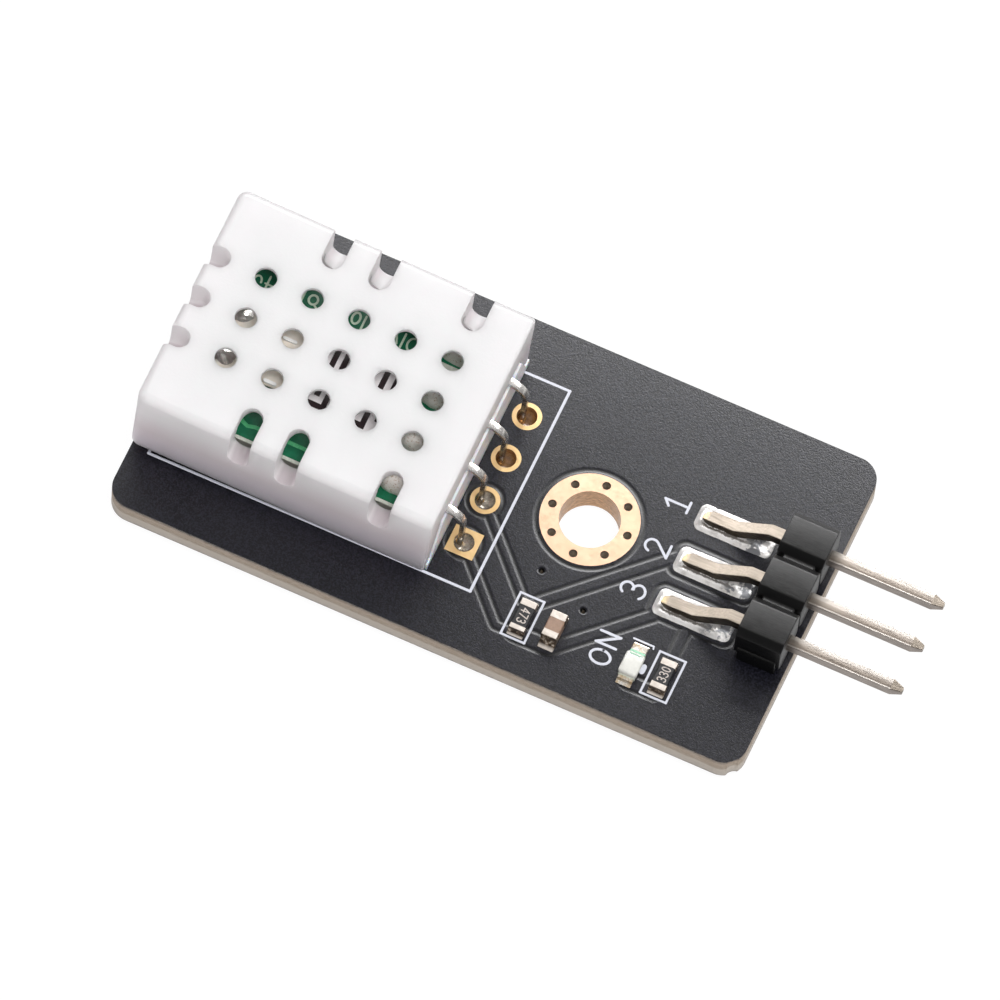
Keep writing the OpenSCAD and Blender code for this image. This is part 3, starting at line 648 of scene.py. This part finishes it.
# Strokes of each generic character in a cell one unit high.
GLYPHS = {
    "0": [arc(0.3, 0.5, 0.27, 0.5, 0, 360, 22)],
    "1": [[(0.08, 0.78), (0.32, 1.0)], [(0.32, 1.0), (0.32, 0.0)], [(0.08, 0.0), (0.56, 0.0)]],
    "2": [arc(0.3, 0.72, 0.27, 0.28, 165, -35) + [(0.03, 0.0)], [(0.03, 0.0), (0.58, 0.0)]],
    "3": [arc(0.28, 0.74, 0.26, 0.26, 150, -80), arc(0.28, 0.26, 0.30, 0.27, 85, -150)],
    "4": [[(0.44, 0.0), (0.44, 1.0)], [(0.44, 1.0), (0.0, 0.3)], [(0.0, 0.3), (0.6, 0.3)]],
    "7": [[(0.02, 1.0), (0.58, 1.0)], [(0.58, 1.0), (0.2, 0.0)]],
    "O": [arc(0.36, 0.5, 0.36, 0.5, 0, 356, 24)],
    "N": [[(0.0, 0.0), (0.0, 1.0)], [(0.0, 1.0), (0.62, 0.0)], [(0.62, 0.0), (0.62, 1.0)]],
}
ADVANCE = {"O": 1.02, "N": 0.98}


def lettered(word, at, height, width, turn, squeeze=1.0):
    """Strokes of a word centred at a point and turned by degrees."""
    widths = [ADVANCE.get(c, 0.86) for c in word]
    total = sum(widths) - 0.26
    angle = math.radians(turn)
    out, x = [], -total / 2
    for char, advance in zip(word, widths):
        for points in GLYPHS[char]:
            placed = []
            for px, py in points:
                u, v = (x + px) * height * squeeze, (py - 0.5) * height
                placed.append((at[0] + u * math.cos(angle) - v * math.sin(angle),
                               at[1] + u * math.sin(angle) + v * math.cos(angle)))
            out.append((placed, width))
        x += advance
    return out


# Solder mask in relief over the copper

def segment_distance(x, y, points):
    """Distance from each grid point to a line through the points."""
    best = np.full(x.shape, 1e9)
    for (ax, ay), (bx, by) in zip(points[:-1], points[1:]):
        dx, dy = bx - ax, by - ay
        t = np.clip(((x - ax) * dx + (y - ay) * dy) / (dx * dx + dy * dy), 0, 1)
        best = np.minimum(best, np.hypot(x - ax - t * dx, y - ay - t * dy))
    return best


def box_distance(x, y, cx, cy, hx, hy, r):
    qx = np.abs(x - cx) - hx + r
    qy = np.abs(y - cy) - hy + r
    return np.hypot(np.maximum(qx, 0), np.maximum(qy, 0)) + np.minimum(np.maximum(qx, qy), 0) - r


GROOVE = 0.23
STEP = 0.055
RELIEF = (-6.6, 9.2, -8.9, 5.4)
TRACES = [
    ([(-0.84, -5.5), (-0.7, -5.42), (4.72, 0.0), (5.0, 0.0)], 0.46),
    ([(1.0, -7.3), (4.95, -3.41), (4.95, -3.0)], 0.46),
    ([(-0.84, -7.2), (0.87, -7.2)], 0.72),
    ([(-5.14, -1.27), (-1.2, -5.4)], 0.3),
    ([(-5.14, -3.81), (-1.9, -7.2), (-1.0, -7.2)], 0.3),
    ([(5.3, -7.2), (6.7, -7.2)], 0.6),
    ([(6.75, -3.6), (6.75, -5.2)], 0.36),
]


def copper_distance(x, y):
    """Signed distance to the copper that stands apart from the ground copper."""
    near = np.hypot(x, y) - 2.6
    for ly in LEG_YS[2:]:
        near = np.minimum(near, np.hypot(x - LEG_ROW_X, y - ly) - 0.8)
    for py in PIN_YS[1:]:
        near = np.minimum(near, box_distance(x, y, (PAD_X0 + PAD_X1) / 2, py, 2.2, 0.86, 0.42))
    for points, width in TRACES:
        near = np.minimum(near, segment_distance(x, y, points) - width / 2)
    return near


def mask_outline():
    """Outline of the board with its rounded corners, drawn in a little."""
    x0, x1, y0, y1, r = -22.3, 12.1, -9.25, 8.9, 1.2
    inset = 0.012
    corners = [(x1 - r, y1 - r), (x0 + r, y1 - r), (x0 + r, y0 + r), (x1 - r, y0 + r)]
    return [point for k, (cx, cy) in enumerate(corners)
            for point in arc(cx, cy, r - inset, r - inset, 90 * k, 90 * (k + 1), 12)]


def mask_field():
    """The even part of the solder mask, round the part that is in relief."""
    x0, x1, y0, y1 = RELIEF
    outer = mask_outline()
    inner = box_corners(x0, y0, x1, y1)
    form = bmesh.new()
    loops = []
    for ring in (outer, inner):
        points = [form.verts.new((x * MM, y * MM, (BOARD_TOP + MASK) * MM)) for x, y in ring]
        loops.append([form.edges.new((points[k], points[(k + 1) % len(points)]))
                      for k in range(len(points))])
    made = bmesh.ops.triangle_fill(form, use_beauty=True, edges=loops[0] + loops[1])
    faces = [f for f in made["geom"] if isinstance(f, bmesh.types.BMFace)]
    middles = [f.calc_center_median() / MM for f in faces]
    faces = [f for f, p in zip(faces, middles) if not (x0 < p.x < x1 and y0 < p.y < y1)]
    extruded = bmesh.ops.extrude_face_region(form, geom=faces)
    moved = [v for v in extruded["geom"] if isinstance(v, bmesh.types.BMVert)]
    bmesh.ops.translate(form, verts=moved, vec=(0, 0, -(MASK + 0.02) * MM))
    bmesh.ops.recalc_face_normals(form, faces=form.faces)
    formed("mask_field", form, "mask", (), 30)


def mask_relief(name, y0, y1):
    """The mask over the tracks: a dip along the edge of each copper form, and open pads."""
    x0, x1 = RELIEF[:2]
    xs = np.linspace(x0, x1, round((x1 - x0) / STEP) + 1)
    ys = np.linspace(y0, y1, round((y1 - y0) / STEP) + 1)
    x, y = np.meshgrid(xs, ys)
    near = copper_distance(x, y)
    dip = np.clip(np.minimum(near + 0.03, GROOVE + 0.03 - near) / 0.12, 0, 1)
    z = BOARD_TOP + MASK * (1 - 0.8 * dip * dip * (3 - 2 * dip))
    for vx, vy in SMALL_VIAS:
        far = np.hypot(x - vx, y - vy)
        z -= 0.25 * np.clip((0.17 - far) / 0.1, 0, 1)
        z += 0.006 * np.exp(-((far - 0.24) / 0.06) ** 2)
    mid_x, mid_y = (x[:-1, :-1] + x[1:, 1:]) / 2, (y[:-1, :-1] + y[1:, 1:]) / 2
    keep = np.hypot(mid_x, mid_y) > 2.4
    for ly in LEG_YS:
        keep &= np.hypot(mid_x - LEG_ROW_X, mid_y - ly) > 0.64
    for vx, vy in SMALL_VIAS:
        keep &= np.hypot(mid_x - vx, mid_y - vy) > 0.09
    top = np.stack([x, y, z], 2)
    low = np.stack([x, y, np.minimum(z - 0.02, BOARD_TOP - 0.03)], 2)
    sheet(name, top, low, "mask", keep=keep, angle=80)


# Solder on the header pads

def wave(x, y, seed, per_mm):
    """Smooth noise over a grid of points."""
    points = np.stack([x * per_mm, y * per_mm, np.full(x.shape, seed)], 2)
    return np.apply_along_axis(noise.noise, 2, points)


def pad_solder(index, y0):
    """Uneven solder that wets the pad and climbs the sides of the foot."""
    rows, cols = 30, 72
    vs = np.linspace(-1, 1, rows)
    us = np.linspace(0, 1, cols)
    half = PAD_HALF
    y = vs[:, None] * half * np.ones(cols)
    past = np.maximum(np.abs(y) - (half - PAD_R), 0)
    inset = PAD_R - np.sqrt(np.maximum(PAD_R ** 2 - past ** 2, 0))
    x = PAD_X0 + inset + us[None, :] * (PAD_X1 - PAD_X0 - 2 * inset)
    edge = -box_distance(x, y, (PAD_X0 + PAD_X1) / 2, 0, (PAD_X1 - PAD_X0) / 2, half, PAD_R)
    wet = np.sqrt(np.clip(edge / 0.22, 0, 1))
    beside = np.maximum(np.abs(y) - 0.3, 0)
    before = np.maximum(5.05 - x, 0)
    gap = np.hypot(beside, before)
    heel = np.clip((x - 6.6) / 1.4, 0, 1)
    reach = 0.20 + 0.10 * wave(x, y, 3.1 + index, 0.9)
    climb = (0.30 + 0.16 * heel * np.clip((8.5 - x) / 0.6, 0, 1)) * np.exp(-(gap / reach) ** 1.4)
    near = np.clip((0.1 - y) / 0.2, 0, 1) * np.clip((x - 5.0) / 0.25, 0, 1)
    ridge = (0.13 + 0.12 * heel) * np.exp(-((y + 0.56) / 0.16) ** 2)
    climb = climb * (1 - 0.9 * near) + ridge * near * np.clip((8.6 - x) / 0.5, 0, 1)
    fade = np.clip((8.75 - x) / 0.7, 0, 1)
    lumps = 0.05 * wave(x, y, 11.7 * index, 1.9) + 0.03 * wave(x, y, 5.3 * index, 4.5)
    z = BOARD_TOP + 0.01 + wet * (0.07 + climb * fade + lumps)
    top = np.stack([x, y + y0, np.maximum(z, BOARD_TOP + 0.01)], 2)
    low = np.stack([x, y + y0, np.full(x.shape, BOARD_TOP)], 2)
    sheet(f"pad_solder_{index}", top, low, "solder",
          (f"header_solder_{index}", f"header_pad_{index}"))


# Rounded lumps of solder

def lump(name, radii, centre, waves, material, fineness=5, replaced=(), place=None, lift=0.0):
    """A ball stretched to its radii and swollen by waves of (height, frequency, shift).

    With a place, a matrix in millimetres, it stands lifted on a board there, flat underneath.
    """
    form = bmesh.new()
    bmesh.ops.create_icosphere(form, subdivisions=fineness, radius=1.0)
    for v in form.verts:
        swell = 1 + sum(high * noise.noise(v.co * often + Vector(at)) for high, often, at in waves)
        q = Vector([a * r for a, r in zip(v.co, radii)]) * swell
        if place:
            q.z = max(q.z + lift, -0.02)
            v.co = place @ (Vector(centre) + q) * MM
        else:
            v.co = (Vector(centre) + q) * MM
    formed(name, form, material, replaced, 60)


def leg_lump(index, y0):
    """A pitted lump round the inner end of a leg."""
    waves = [(0.10, 1.6, (7.0 * index, 0, 0)), (0.035, 6.0, (0, 3.0 * index, 0))]
    lump(f"leg_lump_{index}", (1.1, 0.56, 1.1), (5.05, y0, INNER_TOP), waves, "inner_solder",
         replaced=(f"leg_joint_{index}",), place=SENSOR, lift=0.26)


def lead_solder(index, y0):
    """A bright lump at the foot of a lead of the humidity element."""
    lump(f"lead_solder_{index}", (0.95, 0.72, 0.85), (-5.45, y0, INNER_TOP),
         [(0.16, 1.3, (5.0 * index, 2.0, 0))], "bright_solder", place=SENSOR)


def bead(index, y0, level, radius):
    """Wetted collar where a leg enters its solder."""
    lump(f"bead_{index}", (0.2, radius, radius), (LEG_ROW_X - 0.24, y0, level),
         [(0.15, 1.5, (4.0 * index, 0, 0))], "bead", 3)


# Shell, base, header and legs

def shell_rim(edge):
    """The rims in the plane of the shell's roof and the edges up its corners."""
    a, b = (SENSOR.inverted() @ (v.co / MM) for v in edge.verts)
    if min(a.z, b.z) > ROOF_RIM:
        return True
    aside = max(abs(p.y - SHELL_MID_Y) for p in (a, b)) > SHELL_HALF_W - 0.025
    return aside and abs(b.z - a.z) > 3.5


def set_out(p):
    """Moves the sensor's end above the leg holes out a little, and leaves the sensor's frame."""
    if p.x > 7.3:
        p.x += 0.15
    return SENSOR @ p


def shell_shape(x, y, z):
    """Hollows the roof under the front slots, steepens their floors and sets the end out."""
    undercut = 0.24
    p = SENSOR.inverted() @ Vector((x, y, z))
    for cx in SLOT_XS:
        out, side = SLOT_Y - p.y, abs(p.x - cx)
        if side < 0.75 and abs(p.z - 4.55) < 0.2 and -0.75 < out < 0.0:
            p.y += undercut * min(-out / 0.56, 1.0)
        elif side < 0.75 and 3.2 < p.z < 4.4 and 0.15 < out < 0.5:
            p.y -= undercut
            p.z += 0.06
    return set_out(p)


def base_shape(x, y, z):
    return set_out(SENSOR.inverted() @ Vector((x, y, z)))


rounded("sensor_shell", 0.11, "shell", 4, flat=True, outer=shell_rim, shape=shell_shape)
rounded("sensor_base", 0.05, "resin", shape=base_shape)
rounded("header_body", 0.05, "header")
# The scar of the cut, barely proud of the insulator's front cell.
block("header_stub", 9.6, 11.66,
      [(-3.80, 1.66), (-3.80, 2.78), (-3.77, 2.84), (-3.6, 2.92), (-3.6, 1.66)],
      "header")
for i in range(1, 4):
    rounded(f"header_pin_{i}", 0.045, "pin", 2, 22, folds=False)


def leg_taper(y0):
    """Narrows a leg towards its hole and sets its top out with the sensor's end."""
    def shape(x, y, z):
        k = 1 - 0.32 * min(max((4.3 - z) / 2.4, 0), 1)
        return x + 0.13 * min(max((z - 2.4) / 1.2, 0), 1), y0 + (y - y0) * k, z
    return shape


for i in range(1, 5):
    rounded(f"sensor_leg_{i}", 0.03, "leg", shape=leg_taper(LEG_YS[i - 1]))


def on_board(profile):
    return [(y, BOARD_TOP + z) for y, z in profile]


def chip_cap(name, node, x, half, inner, outer, height, reach, material="chip_end",
             slot="chip_end"):
    """End cap of a chip part with the solder that runs down from it to its pad."""
    way = 1 if outer > inner else -1
    run = abs(outer - inner)
    rim, base, foot = 0.035, 0.02, 0.05
    neck = base + 0.62 * (height - base)
    profile = [(0, 0), (0, height), (run - rim, height), (run - 0.3 * rim, height - 0.3 * rim),
               (run, height - rim)]
    profile += [(run + reach * (1 - math.cos(a)), foot + (neck - foot) * (1 - math.sin(a)))
                for a in np.radians(np.linspace(0, 90, 9))]
    profile.append((run + reach, 0))
    block(name, x - half, x + half, on_board((inner + way * v, w) for v, w in profile),
          material, (node,), angle=18)


# Name, middle along X, half width, inner and outer Y of the back cap and of the front
# cap, height, and how far the solder of each cap runs out.
CHIPS = [
    ("resistor_1", -0.80, 0.43, (-5.82, -5.46), (-6.94, -7.2), 0.48, (0.12, 0.22)),
    ("resistor_2", 6.79, 0.43, (-5.79, -5.44), (-6.81, -7.13), 0.48, (0.12, 0.24)),
    ("capacitor", 0.86, 0.42, (-5.96, -5.56), (-6.67, -7.02), 0.85, (0.2, 0.38)),
]
for name, x, half, back, front, height, reach in CHIPS:
    chip_cap(name + "_cap_1", name + "_end_1", x, half, *back, height, reach[0])
    chip_cap(name + "_cap_2", name + "_end_2", x, half, *front, height, reach[1])
    top = height - 0.02
    low, high = front[0] - 0.02, back[0] + 0.02
    profile = [(low, 0.03), (low, top), (high, top), (high, 0.03)]
    look, slot = ("capacitor",) * 2 if name == "capacitor" else ("chip", "chip_black")
    block(name + "_core", x - half + 0.01, x + half - 0.01, on_board(profile), look,
          (name + "_body",), 0.05)

LED_X, LED_TOP = 5.13, 0.26
for node, name, inner, outer, reach in (("led_end_1", "led_foot_1", -5.78, -5.22, 0.1),
                                        ("led_end_2", "led_foot_2", -7.02, -7.3, 0.22)):
    chip_cap(name, node, LED_X, 0.40, inner, outer, LED_TOP, reach, "led_end", "gold_plating")
block("led_carrier", LED_X - 0.44, LED_X + 0.44,
      on_board([(-7.12, 0.02), (-7.12, 0.28), (-5.7, 0.28), (-5.7, 0.02)]),
      "led_base", ("led_base",))
block("led_dome", LED_X - 0.49, LED_X + 0.49,
      on_board([(-7.08, 0.27), (-7.07, 0.50), (-7.02, 0.59), (-6.94, 0.62),
                (-5.96, 0.62), (-5.88, 0.59), (-5.83, 0.50), (-5.82, 0.27)]),
      "led_lens", ("led_lens",), 0.08, None, 60)
block("led_mark_back", LED_X - 0.40, LED_X + 0.40,
      on_board([(-5.83, 0.27), (-5.83, 0.33), (-5.62, 0.31), (-5.62, 0.27)]),
      "led_mark")
inked("led_mark_top", [([(LED_X - 0.30, -5.98), (LED_X + 0.32, -5.98)], 0.07)], "led_mark",
      BOARD_TOP + 0.60, BOARD_TOP + 0.627)

CARRIED = {
    "pcb": "board", "mounting_ring": "gold", "sensor_board": "green", "sensor_chip": "chip",
    "thermistor": "glass", "humidity_element": "ceramic",
}
for i in (1, 2, 3, 4):
    CARRIED[f"leg_pad_{i}"] = "pad_gold"
    CARRIED[f"leg_solder_{i}"] = "solder"
for name, material in CARRIED.items():
    paint(nodes[name].data, material)

mask_field()
MIDDLE = RELIEF[2] + STEP * 130
mask_relief("mask_relief_front", RELIEF[2], MIDDLE)
mask_relief("mask_relief_back", MIDDLE, RELIEF[3])
for i, y0 in enumerate(PIN_YS, 1):
    pad_solder(i, y0)
for i, (y0, shift) in enumerate(zip(LEG_YS, (0.16, 0.06, -0.1, 0.08)), 1):
    leg_lump(i, y0 - 0.1 + shift)


def hole_fill(index, y0, level, material):
    """Flux or solder in a leg hole, hollowed in the middle."""
    rings, parts = 7, 40
    wall = 0.522
    verts = [(LEG_ROW_X, y0, level)]
    for r in range(1, rings + 1):
        share = r / rings
        for k in range(parts):
            a = 2 * math.pi * k / parts
            u, v = wall * share * math.cos(a), wall * share * math.sin(a)
            bump = 0.05 * noise.noise(Vector((u * 2.5, v * 2.5, 9.0 * index)))
            verts.append((LEG_ROW_X + u, y0 + v, level + 0.16 * share ** 4 + bump))
    base = len(verts)
    verts += [(x, y, 0.55) for x, y, _ in verts[base - parts:]]
    faces = [(0, 1 + k, 1 + (k + 1) % parts) for k in range(parts)]
    for start in range(1, base, parts):
        faces += ring_faces(start, start + parts, parts)
    faces.append(tuple(range(base, base + parts))[::-1])
    new_piece(f"hole_fill_{index}", verts, faces, material, (), 60)


# Level and look of what fills each leg hole, and radius of the bead on its leg.
HOLE_FILLS = [(1.02, "flux", 0.24), (1.02, "flux", 0.22),
              (1.36, "dull_solder", 0.15), (1.42, "dull_solder", 0.15)]
for i, (y0, (level, look, radius)) in enumerate(zip(LEG_YS, HOLE_FILLS), 1):
    hole_fill(i, y0, level, look)
    bead(i, y0, level + 0.1, radius)


# Electrodes and leads of the humidity element, seen through the vents
BAR = 0.29
RAIL = 0.30


def comb(index, xs, rail, tip, right):
    """A rail with bars across, as one flat body."""
    low, high = min(rail, tip), max(rail, tip)
    boxes = [(min(xs) - BAR / 2, right, rail - RAIL / 2, rail + RAIL / 2)]
    boxes += [(x - BAR / 2, x + BAR / 2, low, high) for x in xs]
    verts, faces = [], []
    for k, (x0, x1, y0, y1) in enumerate(boxes):
        top = PLATE_TOP + 0.03 + 0.001 * (k > 0)
        start = len(verts)
        verts += [(x, y, z) for z in (PLATE_TOP, top) for x, y in box_corners(x0, y0, x1, y1)]
        faces += [tuple(start + v for v in face) for face in (
            (3, 2, 1, 0), (4, 5, 6, 7), (0, 1, 5, 4), (1, 2, 6, 5), (2, 3, 7, 6), (3, 0, 4, 7))]
    new_piece(f"comb_form_{index}", verts, faces, "electrode",
              (f"element_comb_{index}",), 30, SENSOR)


comb(1, (-1.41, -0.385, 0.64, 1.64, 2.9), 1.75, -1.6, 3.04)
comb(2, (-0.92, 0.155, 1.225, 2.29), -2.1, 1.4, 2.44)

# A lead's profile along X: up from its foot on the sensor board and over the plate's edge.
FOOT = min((SENSOR.inverted() @ (v.co / MM)).x for v in nodes["element_lead_1"].data.vertices)
EDGE = -1.85
LEAD_PROFILE = [
    (FOOT, INNER_TOP), (FOOT, INNER_TOP + 0.05), (FOOT + 0.45, INNER_TOP + 0.62),
    (FOOT + 0.7, INNER_TOP + 0.62), (-3.3, PLATE_TOP - 0.12), (-2.9, PLATE_TOP + 0.02),
    (EDGE, PLATE_TOP + 0.15), (EDGE + 0.5, PLATE_TOP + 0.15), (EDGE + 0.5, PLATE_TOP + 0.002),
    (EDGE - 0.1, PLATE_TOP + 0.002), (-2.9, PLATE_TOP - 0.14), (-3.4, PLATE_TOP - 0.3),
    (FOOT + 0.9, INNER_TOP)]
SWAP_XY = Matrix(((0, 1, 0, 0), (1, 0, 0, 0), (0, 0, 1, 0), (0, 0, 0, 1)))
for i, (low, high) in enumerate(((0.12, 1.75), (-2.16, -0.7)), 1):
    block(f"lead_form_{i}", low, high, LEAD_PROFILE, "lead", (f"element_lead_{i}",),
          0.09, SENSOR @ SWAP_XY, 60)

# painted highlights: white strokes on the leads where their edges catch the light
inked("painted_lead_highlights", [([(-3.08, 0.5), (-2.5, 0.5)], 0.2), ([(-3.0, -2.02), (-2.5, -2.02)], 0.22)],
      "painted_highlight", PLATE_TOP + 0.1, PLATE_TOP + 0.17, SENSOR)

lead_solder(1, 1.0)
lead_solder(2, -1.5)

# Print and tracks on the sensor board, as far as the vents and slots show them.
INNER_LOW, INNER_INK = INNER_TOP - 0.02, INNER_TOP + 0.012
INNER_STROKES = [
    (arc(-5.72, 3.18, 0.2, 0.3, 0, 180, 12), 0.13),
    ([(-5.2, 3.0), (-5.2, 3.66)], 0.13),
    ([(-5.3, 3.22), (-4.95, 3.22)], 0.12),
    (arc(-2.78, 3.46, 0.23, 0.26, 0, 352, 20), 0.14),
    ([(-3.32, 3.1), (-3.32, 3.7)], 0.13),
    ([(-2.6, 3.2), (-2.36, 3.02)], 0.13),
    (arc(-0.46, 3.5, 0.2, 0.32, 0, 352, 20), 0.14),
    ([(-0.02, 3.05), (-0.02, 3.8)], 0.13),
    ([(1.68, 3.7), (1.9, 3.15)], 0.13),
    ([(2.14, 3.05), (2.14, 3.8)], 0.13),
    (arc(2.64, 3.4, 0.24, 0.36, 90, 300, 14), 0.13),
]
inked("inner_print", INNER_STROKES, "inner_ink", INNER_LOW, INNER_INK, SENSOR)
inked("inner_pad_lines", [([(4.1, 3.1), (5.7, 3.1)], 0.3), ([(4.1, 0.42), (5.7, 0.42)], 0.12)],
      "bare", INNER_LOW, INNER_INK, SENSOR)
inked("inner_track",
      [([(-3.7, -3.7), (-3.2, -4.1), (-2.9, -4.22), (-2.5, -4.12), (1.2, -4.12)], 0.25)],
      "track", INNER_LOW, INNER_INK, SENSOR)
inked("inner_edge", [([(-5.4, -4.96), (5.6, -4.96)], 0.2)], "bare",
      INNER_LOW, INNER_INK + 0.004, SENSOR)

# Ink of the board: the sensor's outline, frames of the chip parts and plain characters.
inked("ink_sensor_frame", box_strokes(-21.31, -6.12, -3.77, 5.98, 0.17))
inked("ink_resistor_1_frame", box_strokes(-1.48, -7.54, -0.2, -5.08, 0.14))
inked("ink_resistor_2_frame", box_strokes(6.07, -7.49, 7.46, -5.04, 0.14))
inked("ink_led_line", [([(4.62, -4.95), (5.68, -4.95)], 0.12),
                       ([(5.68, -4.95), (5.72, -5.08)], 0.1)])
inked("ink_led_half", [([(5.70, -6.42), (5.70, -6.18)], 0.34)])
PIN_MARKS = (("1", (3.56, 2.66)), ("2", (3.64, 0.04)), ("3", (3.49, -2.56)))
inked("ink_pin_numbers", [s for word, at in PIN_MARKS for s in lettered(word, at, 1.25, 0.16, 90)])
inked("ink_lamp_word", lettered("ON", (3.5, -6.05), 1.05, 0.17, 90))
for word, at, turn, name in (("473", (-0.78, -6.37), -90, "resistor_1_code"),
                             ("330", (6.80, -6.29), 90, "resistor_2_code")):
    inked(name, lettered(word, at, 0.44, 0.07, turn, 0.78), "code",
          BOARD_TOP + 0.44, BOARD_TOP + 0.468)

# Ground, camera and light

FLOOR_Z = -0.76


def make_floor():
    """White paper that takes the object's shadow and looks white to camera and mirrors."""
    half = 1500.0
    mesh = bpy.data.meshes.new("floor")
    corners = box_corners(-half, -half, half, half)
    mesh.from_pydata([(x * MM, y * MM, FLOOR_Z * MM) for x, y in corners], [], [(0, 1, 2, 3)])
    floor = linked("floor", mesh)
    material = bpy.data.materials.new("floor_white")
    material.use_nodes = True
    tree = material.node_tree
    tree.nodes.clear()
    paths = put(tree, "LightPath").outputs
    seen = paths["Is Camera Ray"]
    for other in ("Is Glossy Ray", "Is Transmission Ray"):
        seen = put(tree, "Math", {0: seen, 1: paths[other]}, operation="MAXIMUM").outputs[0]
    share = put(tree, "Math", {0: seen, 1: 0.9}, operation="MULTIPLY")
    paper = put(tree, "BsdfDiffuse", {"Color": (0.88, 0.85, 0.865, 1)})
    white = put(tree, "Emission", {"Color": (1, 1, 1, 1), "Strength": 1.06})
    both = put(tree, "MixShader", {0: share.outputs[0], 1: paper.outputs[0], 2: white.outputs[0]})
    put(tree, "OutputMaterial", {"Surface": both.outputs[0]})
    mesh.materials.append(material)


def make_world():
    """A white studio, bright above and behind the object and dim low in front of it."""
    world = bpy.data.worlds.new("studio")
    scene.world = world
    world.use_nodes = True
    tree = world.node_tree
    tree.nodes.clear()
    way = put(tree, "TexCoord").outputs["Generated"]
    rise = put(tree, "VectorMath", {0: way, 1: (0.1, 0.6, 0.8)}, operation="DOT_PRODUCT")
    share = put(tree, "MapRange", {"Value": rise.outputs["Value"], "From Min": -0.4,
                                   "From Max": 0.9, "To Min": 0.05, "To Max": 0.52})
    soft = put(tree, "Background",
               {"Color": (1.0, 0.985, 0.995, 1), "Strength": share.outputs["Result"]})
    put(tree, "OutputWorld", {"Surface": soft.outputs[0]})


def area_lamp(name, place, target, size, watts, gloss_only):
    """A soft lamp for all surfaces, or one that only shows in glossy ones."""
    data = bpy.data.lights.new(name, "AREA")
    data.shape = "RECTANGLE"
    data.size, data.size_y = size[0] * MM, size[1] * MM
    data.energy = watts
    lamp = linked(name, data)
    lamp.location = Vector(place) * MM
    lamp.rotation_euler = (Vector(target) - Vector(place)).to_track_quat("-Z", "Y").to_euler()
    lamp.visible_camera = False
    lamp.visible_diffuse = not gloss_only
    lamp.visible_glossy = gloss_only


def make_camera():
    """The photograph's camera, from the fit to it."""
    film, lens_per_film = 36.0, 16.1097
    data = bpy.data.cameras.new("camera")
    data.sensor_width = film
    data.lens = film * lens_per_film
    data.clip_start = 0.05
    data.clip_end = 10.0
    camera = linked("camera", data)
    right = Vector((0.91083, 0.41029, 0.04529))
    down = Vector((0.39067, -0.82140, -0.41556))
    ahead = Vector((-0.13329, 0.39620, -0.90844))
    turn = Matrix((right, -down, -ahead)).transposed().to_4x4()
    camera.matrix_world = Matrix.Translation(Vector((102.185, -317.979, 728.567)) * MM) @ turn
    scene.camera = camera


make_floor()
make_world()
area_lamp("top_softbox", (90, -80, 420), (0, 0, 0), (240, 240), 1.36, False)
area_lamp("back_card", (-20, 87, 60), (-20, 87, 0), (200, 80), 0.70, True)
make_camera()
scene.view_settings.view_transform = "Standard"
